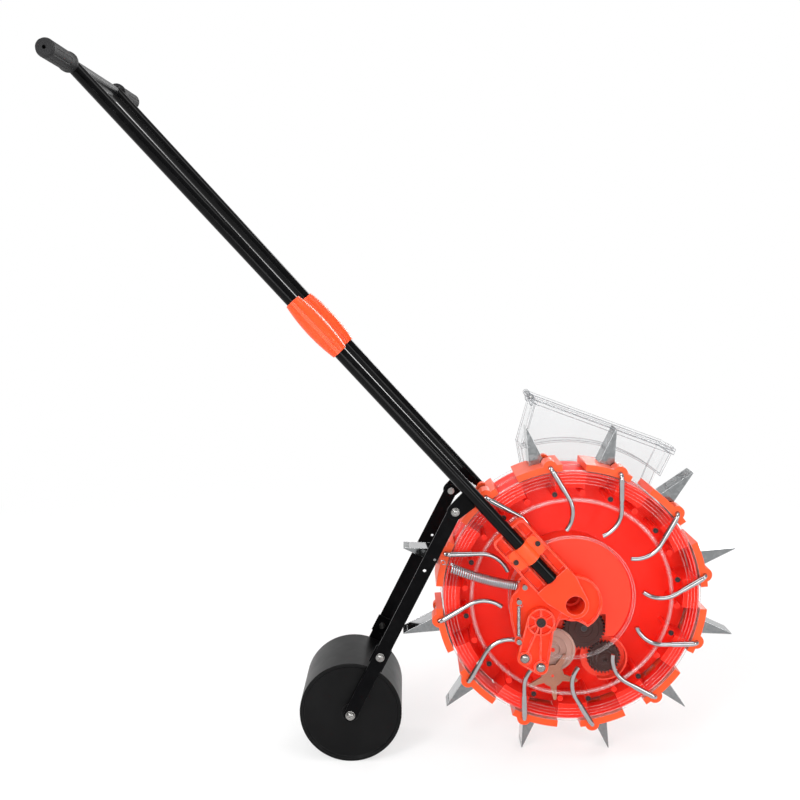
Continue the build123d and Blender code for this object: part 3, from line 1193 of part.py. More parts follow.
with BuildPart() as press_axle:
    headed_bolt(ROLLER_XZ, PRESS_AXLE_R, PRESS_HEAD_R, PRESS_HEAD_H, arm_outer_y, -arm_outer_y)
    bar(ROLLER_XZ, PRESS_HEAD_R, arm_outer_y + PRESS_HEAD_H, arm_outer_y)
pieces["press_axle"] = press_axle.part

with BuildPart() as near_spacer:
    bar(ROLLER_XZ, SPACER_R, -ROLLER_HALF - SIDE_ROOM, -PRESS_ARM_Y)
    bar(ROLLER_XZ, PRESS_AXLE_R + FIT, -ROLLER_HALF - SIDE_ROOM, -PRESS_ARM_Y, Mode.SUBTRACT)
pieces["axle_spacers"] = both_sides(near_spacer.part)

# Cross brace between the arms, with a blade that keeps soil off the roller
blade_angle, blade_reach = bearing(BRACE_XZ, ROLLER_XZ)
blade_length = blade_reach - ROLLER_R - BLADE_ROOM
brace_end_y = PRESS_ARM_Y - FIT
with BuildPart() as cross_brace:
    brace_plane = Plane(
        origin=(BRACE_XZ[0], brace_end_y, BRACE_XZ[1]),
        x_dir=(*polar(1, blade_angle)[:1], 0, *polar(1, blade_angle)[1:]),
        z_dir=(0, -1, 0),
    )
    with BuildSketch(brace_plane):
        with Locations((-BRACE_DEPTH / 2, BRACE_FLANGE / 2)):
            Rectangle(BRACE_DEPTH / 2 + blade_length, BRACE_WEB, align=(Align.MIN, Align.CENTER))
    extrude(amount=2 * brace_end_y)
    for flange_y in (brace_end_y, BRACE_WEB - brace_end_y):
        flange_plane = Plane((BRACE_XZ[0], flange_y, BRACE_XZ[1]), brace_plane.x_dir, (0, -1, 0))
        with BuildSketch(flange_plane):
            Rectangle(BRACE_DEPTH, BRACE_FLANGE + BRACE_WEB)
            Circle(BRACE_BOLT_R + FIT, mode=Mode.SUBTRACT)
        extrude(amount=BRACE_WEB)
pieces["cross_brace"] = cross_brace.part

with BuildPart() as near_brace_bolt:
    nut_y = BRACE_WEB - brace_end_y
    headed_bolt(BRACE_XZ, BRACE_BOLT_R, BRACE_HEAD_R, BRACE_HEAD_H, nut_y, -arm_outer_y)
    bar(BRACE_XZ, BRACE_HEAD_R, nut_y + BRACE_HEAD_H, nut_y)
pieces["brace_bolts"] = both_sides(near_brace_bolt.part)


def biarc(start, start_along, end, end_along):
    """Two arcs that join two points and keep both directions, added to the line being drawn."""
    across = end - start
    both = start_along + end_along
    turn = 2 * (1 - start_along.dot(end_along))
    reach = (sqrt(across.dot(both) ** 2 + turn * across.dot(across)) - across.dot(both)) / turn
    first = start + start_along * reach
    second = end - end_along * reach
    middle = (first + second) * (1 / 2)
    TangentArc(start, middle, tangent=start_along)
    TangentArc(middle, end, tangent=second - first)


def spring_route(anchors, leads, coil_r, turns):
    """Straight lead, even coil in half turns, and straight lead, along the line between two anchors."""
    along = (anchors[1] - anchors[0]).normalized()
    side = along.cross(Vector(0, 1, 0)).normalized()
    up = along.cross(side)
    coil_start = anchors[0] + along * leads[0]
    length = (anchors[1] - anchors[0]).length - leads[0] - leads[1]
    rise = length / turns

    def coil_point(half_turns):
        angle = pi * half_turns
        return coil_start + (side * cos(angle) + up * sin(angle)) * coil_r + along * (rise * half_turns / 2)

    def coil_along(half_turns):
        angle = pi * half_turns
        return ((up * cos(angle) - side * sin(angle)) * coil_r + along * (rise / (2 * pi))).normalized()

    lead_in = coil_start - along * coil_r
    lead_out = coil_start + along * (length + coil_r)
    Line(anchors[0], lead_in)
    biarc(lead_in, along, coil_point(0), coil_along(0))
    for half_turn in range(2 * turns):
        turn_end = half_turn + 1
        biarc(coil_point(half_turn), coil_along(half_turn), coil_point(turn_end), coil_along(turn_end))
    biarc(coil_point(2 * turns), coil_along(2 * turns), lead_out, along)
    Line(lead_out, anchors[1])


def least_gap(route, coil_r, wire_r, samples=6):
    """Smallest clear gap between a spring's wire and itself, measured on points along it."""
    points = []
    lengths = []
    travelled = 0.0
    for edge in route.edges():
        for sample in range(samples):
            points.append(edge.position_at(sample / samples))
            lengths.append(travelled + edge.length * sample / samples)
        travelled += edge.length
    apart = 2 * coil_r
    least = travelled
    for first, point in enumerate(points):
        for second in range(first + 1, len(points)):
            if apart < lengths[second] - lengths[first] < 8 * pi * coil_r:
                least = min(least, (points[second] - point).length)
    return least - 2 * wire_r


def spring(anchors, leads, coil_r, wire_r, turns, name):
    """Tension spring as one unbroken wire."""
    with BuildPart() as wound:
        with BuildLine() as route:
            spring_route(anchors, leads, coil_r, turns)
        with BuildSketch(Plane(origin=anchors[0], z_dir=anchors[1] - anchors[0])):
            Circle(wire_r)
        sweep()
    print(name, "least gap between turns", round(least_gap(route.line, coil_r, wire_r), 3))
    return wound.part


def spring_anchors(first_xz, second_xz, y, first_room, second_room):
    """Ends of a spring's line, standing clear of the posts or edges that hold it."""
    angle, distance = bearing(first_xz, second_xz)
    start = polar(first_room, angle)
    end = polar(distance - second_room, angle)
    return (
        Vector(first_xz[0] + start[0], y, first_xz[1] + start[1]),
        Vector(first_xz[0] + end[0], y, first_xz[1] + end[1]),
    )


post_room = SPRING_POST_R + SPRING_ROOM
pieces["striker_spring"] = spring(
    spring_anchors(POST_SCREW_XZ, STRIKER_LUG, SMALL_SPRING_Y, post_room, post_room),
    (SMALL_LEAD, SMALL_LEAD),
    SMALL_COIL_R,
    SMALL_WIRE_R,
    SMALL_TURNS,
    "striker_spring",
)
pieces["arm_spring"] = spring(
    spring_anchors(SPRING_POST_XZ, SPRING_HOLE_XZ, BIG_SPRING_Y, post_room, SPRING_ROOM),
    (BIG_LEAD_BRACKET, BIG_LEAD_ARM),
    BIG_COIL_R,
    BIG_WIRE_R,
    BIG_TURNS,
    "arm_spring",
)

# Seed hopper: a tilted box over the drum, with a chute that leads down to the hub's window.
# It is moulded in two halves that meet in line with the hub's far face.
hopper_along = polar(1, HOPPER_TILT)
hopper_up = polar(1, HOPPER_TILT + 90)


def hopper_place(along, up):
    """Side-view point on the hopper, along its top edge and square to it."""
    return (
        HOPPER_CORNER[0] + along * hopper_along[0] + up * hopper_up[0],
        HOPPER_CORNER[1] + along * hopper_along[1] + up * hopper_up[1],
    )


shoulder_left = polar(HOPPER_SHOULDER_R, HOPPER_LEFT_FOOT)
shoulder_right = polar(HOPPER_SHOULDER_R, HOPPER_RIGHT_FOOT)
shoulder_top = polar(HOPPER_SHOULDER_R, (HOPPER_LEFT_FOOT + HOPPER_RIGHT_FOOT) / 2)
hopper_right = hopper_place(HOPPER_LENGTH, 0)


def hopper_box():
    """Upper part of the hopper, rounded underneath to clear the mouths."""
    with BuildLine() as outline:
        Polyline(shoulder_left, HOPPER_CORNER, hopper_right, shoulder_right)
        ThreePointArc(shoulder_right, shoulder_top, shoulder_left)
    make_face(outline.edges())


def hopper_whole():
    """Upper part and chute together."""
    Polygon(shoulder_left, HOPPER_CORNER, hopper_right, shoulder_right, *reversed(HOPPER_CHUTE), align=None)


hopper_depth = HOPPER_FAR_Y - HOPPER_TOP_NEAR_Y
with BuildPart() as hopper:
    with BuildSketch(side_plane(HOPPER_FAR_Y)):
        hopper_whole()
    extrude(amount=HOPPER_FAR_Y - HUB_FAR_Y)
    with BuildSketch(side_plane(HOPPER_FAR_Y)):
        hopper_box()
    extrude(amount=hopper_depth)
    with BuildSketch(side_plane(HOPPER_FAR_Y - HOPPER_WALL)):
        hopper_whole()
        offset(amount=-HOPPER_WALL, mode=Mode.REPLACE)
    extrude(amount=HOPPER_FAR_Y - HUB_FAR_Y - 2 * HOPPER_WALL, mode=Mode.SUBTRACT)
    with BuildSketch(side_plane(HOPPER_FAR_Y - HOPPER_WALL)):
        hopper_box()
        offset(amount=-HOPPER_WALL, mode=Mode.REPLACE)
    extrude(amount=hopper_depth - 2 * HOPPER_WALL, mode=Mode.SUBTRACT)
    with BuildSketch(side_plane(HOPPER_FAR_Y + HOPPER_RIM)):
        Polygon(
            hopper_place(-HOPPER_RIM, 0),
            hopper_place(HOPPER_LENGTH + HOPPER_RIM, 0),
            hopper_place(HOPPER_LENGTH + HOPPER_RIM, -HOPPER_RIM_H),
            hopper_place(-HOPPER_RIM, -HOPPER_RIM_H),
            align=None,
        )
    extrude(amount=hopper_depth + 2 * HOPPER_RIM)
    mouth_inset = 2 * HOPPER_WALL
    with BuildSketch(side_plane(HOPPER_FAR_Y - HOPPER_WALL)):
        Polygon(
            hopper_place(mouth_inset, HOPPER_RIM_H),
            hopper_place(HOPPER_LENGTH - mouth_inset, HOPPER_RIM_H),
            hopper_place(HOPPER_LENGTH - mouth_inset, -2 * HOPPER_RIM_H),
            hopper_place(mouth_inset, -2 * HOPPER_RIM_H),
            align=None,
        )
    extrude(amount=hopper_depth - 2 * HOPPER_WALL, mode=Mode.SUBTRACT)
    bar(HOPPER_WINDOW, HOPPER_WINDOW_R, HUB_FAR_Y + HOPPER_WALL, HUB_FAR_Y, Mode.SUBTRACT)
    hinge_xz = hopper_place(-LID_HINGE_OUT, LID_ROOM + LID_PLATE / 2)
    ear_edges = (HOPPER_TOP_NEAR_Y + LID_EAR_INSET, HOPPER_FAR_Y - LID_EAR_INSET)
    for ear_far_y in (ear_edges[0] + LID_EAR, ear_edges[1]):
        with BuildSketch(side_plane(ear_far_y)):
            with Locations(hinge_xz):
                Circle(LID_KNUCKLE_R)
            Polygon(
                hopper_place(-LID_HINGE_OUT - LID_KNUCKLE_R / 2, 0),
                hopper_place(0, -HOPPER_RIM_H / 2),
                hopper_place(0, -2 * HOPPER_RIM_H),
                hopper_place(-HOPPER_RIM, -2 * HOPPER_RIM_H),
                align=None,
            )
        extrude(amount=LID_EAR)
        bar(hinge_xz, LID_PIN_R + FIT, ear_far_y, ear_far_y - LID_EAR, Mode.SUBTRACT)
hopper_seam = side_plane(HUB_FAR_Y)
pieces["hopper_front"] = split(hopper.part, bisect_by=hopper_seam, keep=Keep.TOP, mode=Mode.PRIVATE)
pieces["hopper_back"] = split(hopper.part, bisect_by=hopper_seam, keep=Keep.BOTTOM, mode=Mode.PRIVATE)

with BuildPart() as hopper_hinge_pin:
    bar(hinge_xz, LID_PIN_R, ear_edges[1] + LID_PIN_END, ear_edges[0] - LID_PIN_END)
pieces["hopper_hinge_pin"] = hopper_hinge_pin.part

with BuildPart() as hopper_lid:
    lid_top = LID_ROOM + LID_PLATE
    with BuildSketch(side_plane(HOPPER_FAR_Y + HOPPER_RIM)):
        Polygon(
            hopper_place(-HOPPER_RIM, LID_ROOM),
            hopper_place(HOPPER_LENGTH + HOPPER_RIM, LID_ROOM),
            hopper_place(HOPPER_LENGTH + HOPPER_RIM, lid_top),
            hopper_place(-HOPPER_RIM, lid_top),
            align=None,
        )
    extrude(amount=hopper_depth + 2 * HOPPER_RIM)
    knuckle_far_y = ear_edges[1] - LID_EAR - SIDE_ROOM
    knuckle_near_y = ear_edges[0] + LID_EAR + SIDE_ROOM
    with BuildSketch(side_plane(knuckle_far_y)):
        with Locations(hinge_xz):
            Circle(LID_KNUCKLE_R)
        Polygon(
            hopper_place(-LID_HINGE_OUT, LID_ROOM),
            hopper_place(0, LID_ROOM),
            hopper_place(0, lid_top),
            hopper_place(-LID_HINGE_OUT, lid_top),
            align=None,
        )
    extrude(amount=knuckle_far_y - knuckle_near_y)
    for ear_far_y in (ear_edges[0] + LID_EAR, ear_edges[1]):
        ear_near_y = ear_far_y - LID_EAR
        ear_room_r = LID_KNUCKLE_R + LID_SWING_ROOM
        bar(hinge_xz, ear_room_r, ear_far_y + SIDE_ROOM, ear_near_y - SIDE_ROOM, Mode.SUBTRACT)
    bar(hinge_xz, LID_PIN_R + RUN, knuckle_far_y, knuckle_near_y, Mode.SUBTRACT)
    hopper_middle_y = (HOPPER_FAR_Y + HOPPER_TOP_NEAR_Y) / 2
    with BuildSketch(side_plane(hopper_middle_y + LID_TAB_HALF)):
        Polygon(
            hopper_place(HOPPER_LENGTH, LID_ROOM),
            hopper_place(HOPPER_LENGTH + LID_TAB, LID_ROOM),
            hopper_place(HOPPER_LENGTH + LID_TAB, lid_top),
            hopper_place(HOPPER_LENGTH, lid_top),
            align=None,
        )
    extrude(amount=2 * LID_TAB_HALF)
pieces["hopper_lid"] = hopper_lid.part

# Set the planter down: the floor at zero height, centred between its ends
whole = Compound(children=[piece.moved(Location()) for piece in pieces.values()]).bounding_box()
shift = Vector(-(whole.min.X + whole.max.X) / 2, -(whole.min.Y + whole.max.Y) / 2, -whole.min.Z)
for name, piece in pieces.items():
    placed = piece.moved(Location(shift))
    placed.label = name
    export_step(placed, f"parts/{name}.step")

# Joint places, for the record
JOINT_PLACES = {
    "drum": (0, 0),
    "striker": STRIKER_PIVOT,
    "rear_follower": STRIKER_FOOT[0],
    "front_follower": STRIKER_FOOT[1],
    "press_arm": ARM_PIVOT_XZ,
    "press_roller": ROLLER_XZ,
    "star_wheel": STAR_XZ,
    "idler_disc": IDLER_XZ,
    "metering": METER_XZ,
    "hand_gear": HAND_GEAR_XZ,
    "hopper_lid": hinge_xz,
}
for number, angle in enumerate(PIN_ANGLES, start=1):
    JOINT_PLACES[f"beak_{number:02d}"] = polar(PIN_CIRCLE_R, angle)
print("size", [round(extent, 2) for extent in whole.size], "shift", [round(part, 3) for part in shift])
for name, xz in JOINT_PLACES.items():
    print("joint", name, [round(xz[0] + shift.X, 3), 0, round(xz[1] + shift.Z, 3)])
print("ratios", STAR_RATIO, IDLER_RATIO, METER_RATIO, HAND_RATIO)
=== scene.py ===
"""Looks of a walk-behind seed planter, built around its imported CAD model."""

import json
import logging
import math
from collections.abc import Callable, Iterator
from contextlib import contextmanager
from dataclasses import dataclass
from enum import Enum
from typing import Protocol

import bmesh
import bpy
from mathutils import Matrix, Vector


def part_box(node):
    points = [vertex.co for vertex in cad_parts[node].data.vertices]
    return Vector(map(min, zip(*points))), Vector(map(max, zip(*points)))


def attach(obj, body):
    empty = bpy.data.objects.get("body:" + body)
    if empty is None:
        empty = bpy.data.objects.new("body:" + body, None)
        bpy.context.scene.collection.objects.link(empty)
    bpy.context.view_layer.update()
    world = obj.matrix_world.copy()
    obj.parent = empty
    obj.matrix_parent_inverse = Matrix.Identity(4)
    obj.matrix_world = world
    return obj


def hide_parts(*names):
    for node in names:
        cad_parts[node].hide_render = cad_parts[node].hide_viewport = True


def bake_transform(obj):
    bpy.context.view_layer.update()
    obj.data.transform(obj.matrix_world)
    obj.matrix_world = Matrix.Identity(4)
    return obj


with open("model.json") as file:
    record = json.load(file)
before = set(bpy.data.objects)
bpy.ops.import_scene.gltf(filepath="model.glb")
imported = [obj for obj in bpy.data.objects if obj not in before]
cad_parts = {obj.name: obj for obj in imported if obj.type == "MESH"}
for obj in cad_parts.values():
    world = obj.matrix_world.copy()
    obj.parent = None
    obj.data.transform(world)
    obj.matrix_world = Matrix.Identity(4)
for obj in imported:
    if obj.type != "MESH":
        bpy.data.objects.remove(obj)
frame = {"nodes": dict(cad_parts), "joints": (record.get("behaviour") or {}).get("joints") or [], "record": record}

LOG = logging.getLogger("planter")
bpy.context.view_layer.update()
MM = 0.001
SAME_PLACE = 1e-6
ROUND_SHADING = 60.0
RING_ABOUT_Y = (math.pi / 2, 0, 0)
WHITE = (1.0, 1.0, 1.0)
# Sockets of the Mix node's colours, which share their names with its other kinds.
MIX_SHARE, MIX_FIRST, MIX_SECOND = 0, 6, 7
MIX_RESULT = 2
EDGE_SAMPLES = 6
RELIEF_SAMPLES = 4
Colour = tuple[float, float, float]
Triple = tuple[float, float, float]
Profile = tuple[tuple[float, float], ...]


class Grain(Enum):
    """How fine a moulded surface is, in waves per metre."""

    FINE = 2600.0
    COARSE = 700.0


class Side(Enum):
    """Near side, which the camera sees, or far side."""

    NEAR = -1
    FAR = 1

    @property
    def label(self) -> str:
        """The side as it stands in the names of pieces."""
        return self.name.lower()


class Pick(Enum):
    """Parts of a mesh that can be picked."""

    POINTS = "VERT"
    EDGES = "EDGE"


class Signal:
    """A shader socket that can be used in Python sums."""

    def __init__(self, graph: "Graph", socket: bpy.types.NodeSocket) -> None:
        """Keeps the socket and the material that it belongs to."""
        self.graph = graph
        self.socket = socket

    def _math(self, operation: str, left: object, right: object) -> "Signal":
        """Result of a Math node with that operation on two values or signals."""
        return self.graph.wire("ShaderNodeMath", 0, {"operation": operation}, {0: left, 1: right})

    def __add__(self, other: object) -> "Signal":
        """This plus other."""
        return self._math("ADD", self, other)

    def __rsub__(self, other: object) -> "Signal":
        """Other minus this."""
        return self._math("SUBTRACT", other, self)

    def __mul__(self, other: object) -> "Signal":
        """This times other."""
        return self._math("MULTIPLY", self, other)


class Graph:
    """One node material, built a node at a time."""

    def __init__(self, name: str, world: bpy.types.World | None = None) -> None:
        """Starts an empty node tree.

        Args:
            name: Name of the new material.
            world: A world to use in place of a new material.
        """
        self.material = world or bpy.data.materials.new(name)
        self.material.use_nodes = True
        self.tree = self.material.node_tree
        self.tree.nodes.clear()

    def node(self, kind: str, settings: dict | None = None, sockets: dict | None = None) -> bpy.types.Node:
        """Adds one node.

        Args:
            kind: The node's type name.
            settings: Its properties, which are set first.
            sockets: Input name or number to a value, a signal or a colour.

        Returns:
            The new node.
        """
        node = self.tree.nodes.new(kind)
        for key, value in (settings or {}).items():
            setattr(node, key, value)
        for key, value in (sockets or {}).items():
            target = node.inputs[key]
            if isinstance(value, Signal):
                self.tree.links.new(value.socket, target)
            elif isinstance(value, tuple) and len(value) == 3 and target.type == "RGBA":
                target.default_value = (*value, 1.0)
            else:
                target.default_value = value
        return node

    def wire(
        self, kind: str, output: int | str = 0, settings: dict | None = None, sockets: dict | None = None
    ) -> Signal:
        """Adds one node, as node() does, and takes the result of that name or number."""
        return Signal(self, self.node(kind, settings, sockets).outputs[output])

    def place(self, stretch: Triple = (1.0, 1.0, 1.0)) -> Signal:
        """Object coordinates, with the pattern's scale along each axis."""
        coordinates = self.wire("ShaderNodeTexCoord", "Object")
        return self.wire("ShaderNodeMapping", 0, None, {"Vector": coordinates, "Scale": stretch})

    def noise(self, where: Signal, scale: float, detail: float = 3.0, roughness: float = 0.5) -> Signal:
        """Cloudy value of 0 to 1 with that many waves per metre, and finer layers of some strength."""
        sockets = {"Vector": where, "Scale": scale, "Detail": detail, "Roughness": roughness}
        return self.wire("ShaderNodeTexNoise", 0, None, sockets)

    def crystals(self, where: Signal, scale: float) -> Signal:
        """One random value for each crystal, at that many crystals per metre."""
        colour = self.wire("ShaderNodeTexVoronoi", "Color", None, {"Vector": where, "Scale": scale})
        return self.wire("ShaderNodeSeparateColor", 0, None, {0: colour})

    def between(self, low: float, high: float, share: Signal) -> Signal:
        """Value that goes from low to high with a share."""
        return share * (high - low) + low

    def contrast(self, value: Signal, low: float, high: float) -> Signal:
        """Value stretched so that low becomes 0 and high becomes 1."""
        sockets = {"Value": value, "From Min": low, "From Max": high, "To Min": 0.0, "To Max": 1.0}
        return self.wire("ShaderNodeMapRange", 0, {"clamp": True}, sockets)

    def mix(self, share: object, first: object, second: object) -> Signal:
        """Colour that goes from first to second with a share."""
        sockets = {MIX_SHARE: share, MIX_FIRST: first, MIX_SECOND: second}
        return self.wire("ShaderNodeMix", MIX_RESULT, {"data_type": "RGBA"}, sockets)

    def seen(self, mirrored: float = 1.0) -> Signal:
        """Value that is 1 where something is looked at, and not where it only gives light.

        Args:
            mirrored: The value where it is seen in a shiny surface.

        Returns:
            The value.
        """
        path = self.node("ShaderNodeLightPath")
        direct, through, mirror = (
            Signal(self, path.outputs[f"Is {ray} Ray"]) for ray in ("Camera", "Transmission", "Glossy")
        )
        return self.contrast(direct + through + mirror * mirrored, low=0.0, high=1.0)

    def edges(self, radius: float, gain: float = 6.0) -> Signal:
        """Value that is 1 along the edges of the shape and 0 on its faces.

        Args:
            radius: How far from an edge the value reaches, in metres.
            gain: How sharply it falls off.

        Returns:
            The value.
        """
        rounded = self.wire("ShaderNodeBevel", 0, {"samples": EDGE_SAMPLES}, {"Radius": radius})
        sockets = {0: rounded, 1: self.wire("ShaderNodeNewGeometry", "Normal")}
        same = self.wire("ShaderNodeVectorMath", "Value", {"operation": "DOT_PRODUCT"}, sockets)
        return self.contrast(1.0 - same, low=0.0, high=1.0 / gain)

    def relief(self, height: Signal, depth: float, edge: float) -> Signal:
        """Surface normal with a height pattern and softened edges.

        Args:
            height: Height pattern, 0 to 1.
            depth: Depth of the pattern in metres.
            edge: Radius that edges look rounded to, in metres.

        Returns:
            The normal.
        """
        rounded = self.wire("ShaderNodeBevel", 0, {"samples": RELIEF_SAMPLES}, {"Radius": edge})
        sockets = {"Strength": 1.0, "Distance": depth, "Height": height, "Normal": rounded}
        return self.wire("ShaderNodeBump", 0, None, sockets)

    def shader(self, **sockets: object) -> Signal:
        """General surface shader, with underscores for the spaces in its inputs' names."""
        named = {key.replace("_", " "): value for key, value in sockets.items()}
        return self.wire("ShaderNodeBsdfPrincipled", 0, None, named)

    def blend(self, share: object, first: Signal, second: Signal) -> Signal:
        """Shader that goes from first to second with a share."""
        return self.wire("ShaderNodeMixShader", 0, None, {0: share, 1: first, 2: second})

    def end(self, shader: Signal) -> bpy.types.Material:
        """Ends the material with a shader."""
        self.node("ShaderNodeOutputMaterial", None, {"Surface": shader})
        return self.material

    def surface(self, **sockets: object) -> bpy.types.Material:
        """Ends the material with a general surface shader."""
        return self.end(self.shader(**sockets))

    def film(self, share: object, **sockets: object) -> bpy.types.Material:
        """Ends the material with a thin shiny film, of which a share shows, over clear space."""
        clear = self.wire("ShaderNodeBsdfTransparent", 0, None, {"Color": WHITE})
        return self.end(self.blend(share, clear, self.shader(**sockets)))


class Finish(Protocol):
    """A look that can be made into a material."""

    def build(self, name: str) -> bpy.types.Material:
        """Makes the material with that name."""


def shade(colour: Colour, factor: float, lift: float = 0.0) -> Colour:
    """Colour times a factor plus a lift, at most white."""
    return tuple(min(part * factor + lift, 1.0) for part in colour)


# In the finishes, depths and edges are in metres and patterns in waves per metre.
@dataclass(frozen=True)
class Moulding:
    """Coloured moulded plastic with cloudy colour, fine grain and edges paled by scuffs and a painted highlight.
    """

    colour: Colour
    roughness: float = 0.32
    variation: float = 0.10
    grain: Grain = Grain.FINE
    depth: float = 0.000005
    edge: float = 0.0008
    coat: float = 0.08
    gloss: float = 0.35
    depth_glow: float = 0.0
    wear_and_highlight_lift: float = 0.10
    glow_reach: Triple = (0.006, 0.002, 0.001)
    coat_roughness: float = 0.12
    lightest_black: float = 0.004
    flow_lines: Triple = (26.0, 26.0, 5.0)
    streak_share: float = 0.3
    clouds: float = 9.0
    handling: float = 40.0
    polish: float = 0.06
    dulling: float = 0.08
    wear_and_highlight_scale: float = 120.0
    wear_and_highlight_reach: float = 1.6

    def build(self, name: str) -> bpy.types.Material:
        """Makes the material.

        Args:
            name: Its name.

        Returns:
            The material.
        """
        graph = Graph(name)
        where = graph.place()
        cloud = graph.noise(where, self.clouds, detail=4.0, roughness=0.55)
        streak = graph.noise(graph.place(self.flow_lines), 1.0, roughness=0.6)
        flow = cloud * (1.0 - self.streak_share) + streak * self.streak_share
        tone = graph.contrast(flow, low=0.3, high=0.7)
        dark = shade(self.colour, 1.0 - self.variation)
        light = shade(self.colour, 1.0 + self.variation, self.lightest_black)
        # Paler edges in patches: partly scuffs, partly a painted highlight along the edges and rims.
        wear_and_highlight_colour = shade(self.colour, 1.0 - self.wear_and_highlight_lift, self.wear_and_highlight_lift)
        wear_and_highlight_patches = graph.contrast(graph.noise(where, self.wear_and_highlight_scale), low=0.3, high=0.6)
        wear_and_highlight_mask = graph.edges(self.wear_and_highlight_reach * self.edge) * wear_and_highlight_patches
        height = graph.noise(where, self.grain.value, detail=2.0)
        touched = graph.noise(where, self.handling)
        return graph.surface(
            Base_Color=graph.mix(wear_and_highlight_mask, graph.mix(tone, dark, light), wear_and_highlight_colour),
            Roughness=graph.between(self.roughness - self.polish, self.roughness + self.dulling, touched),
            Specular_IOR_Level=self.gloss,
            Coat_Weight=self.coat,
            Coat_Roughness=self.coat_roughness,
            Subsurface_Weight=self.depth_glow,
            Subsurface_Radius=self.glow_reach,
            Normal=graph.relief(height, self.depth, self.edge),
        )


@dataclass(frozen=True)
class Paint:
    """Stoved paint on steel: orange-peel ripple, dust in the gloss and a clear top."""

    colour: Colour
    roughness: float = 0.22
    ripple: float = 0.000008
    edge: float = 0.0006
    coat: float = 0.6
    gloss: float = 0.3
    coat_roughness: float = 0.06
    dust: float = 55.0
    dust_share: float = 0.45
    dulling: float = 0.16
    specks: float = 1500.0
    speck_share: float = 0.25
    chips: float = 90.0
    chip_reach: float = 1.5
    peel: float = 420.0

    def build(self, name: str) -> bpy.types.Material:
        """Makes the material.

        Args:
            name: Its name.

        Returns:
            The material.
        """
        graph = Graph(name)
        where = graph.place()
        settled = graph.noise(where, self.dust, detail=5.0, roughness=0.65)
        dust = graph.contrast(settled, low=0.45, high=0.8)
        specks = graph.contrast(graph.noise(where, self.specks, detail=2.0), low=0.66, high=0.8)
        lighter = shade(self.colour, factor=1.6, lift=0.004)
        bare = shade(self.colour, factor=3.0, lift=0.05)
        body = graph.mix(dust * self.dust_share + specks * self.speck_share, self.colour, lighter)
        chips = graph.noise(where, self.chips, detail=4.0, roughness=0.6)
        chipped = graph.contrast(chips, low=0.42, high=0.62)
        peel = graph.noise(where, self.peel, detail=2.0, roughness=0.4)
        return graph.surface(
            Base_Color=graph.mix(graph.edges(self.chip_reach * self.edge) * chipped, body, bare),
            Roughness=graph.between(self.roughness, self.roughness + self.dulling, dust),
            Specular_IOR_Level=self.gloss,
            Coat_Weight=self.coat,
            Coat_Roughness=self.coat_roughness,
            Normal=graph.relief(peel, self.ripple, self.edge),
        )


@dataclass(frozen=True)
class Plating:
    """Bright plated steel with drawing lines, some haze and edges paled by polish and a painted highlight."""

    colour: Colour
    roughness: float = 0.14
    lines: Triple = (900.0, 900.0, 60.0)
    depth: float = 0.000005
    edge: float = 0.0004
    pale_edge_reach: float = 1.5
    haze: float = 70.0
    haze_share: float = 0.6
    spread: float = 2.2

    def build(self, name: str) -> bpy.types.Material:
        """Makes the material.

        Args:
            name: Its name.

        Returns:
            The material.
        """
        graph = Graph(name)
        where = graph.place()
        clouds = graph.noise(where, self.haze, detail=4.0, roughness=0.6)
        haze = graph.contrast(clouds, low=0.35, high=0.75)
        lines = graph.noise(graph.place(self.lines), 1.0, roughness=0.6)
        body = graph.mix(haze, self.colour, shade(self.colour, factor=0.82))
        # Paler edges: partly polished wear, partly a painted highlight along the edges.
        polish_and_highlight_colour = shade(self.colour, factor=1.5)
        dull = haze * self.haze_share + lines * (1.0 - self.haze_share)
        return graph.surface(
            Base_Color=graph.mix(graph.edges(self.pale_edge_reach * self.edge), body, polish_and_highlight_colour),
            Metallic=1.0,
            Roughness=graph.between(self.roughness, self.spread * self.roughness, dull),
            Normal=graph.relief(lines, self.depth, self.edge),
        )


@dataclass(frozen=True)
class Galvanised:
    """Hot-dipped sheet with crystal patches and worn edges."""

    colour: Colour
    bright: Colour = (0.86, 0.87, 0.88)
    roughness: float = 0.30
    patch: float = 230.0
    polish: float = 0.03
    dulling: float = 0.07
    edge: float = 0.0004
    pale_edge_reach: float = 3.5
    dents: float = 160.0
    dent_share: float = 0.8
    dent_depth: float = 0.00003

    def build(self, name: str) -> bpy.types.Material:
        """Makes the material.

        Args:
            name: Its name.

        Returns:
            The material.
        """
        graph = Graph(name)
        where = graph.place()
        tone = graph.crystals(where, self.patch)
        body = graph.mix(tone, shade(self.colour, factor=0.88), shade(self.colour, factor=1.06))
        height = graph.noise(where, self.dents) * self.dent_share + tone * (1.0 - self.dent_share)
        return graph.surface(
            Base_Color=graph.mix(graph.edges(self.pale_edge_reach * self.edge), body, self.bright),
            Metallic=1.0,
            Roughness=graph.between(self.roughness - self.polish, self.roughness + self.dulling, tone),
            Normal=graph.relief(height, self.dent_depth, self.edge),
        )


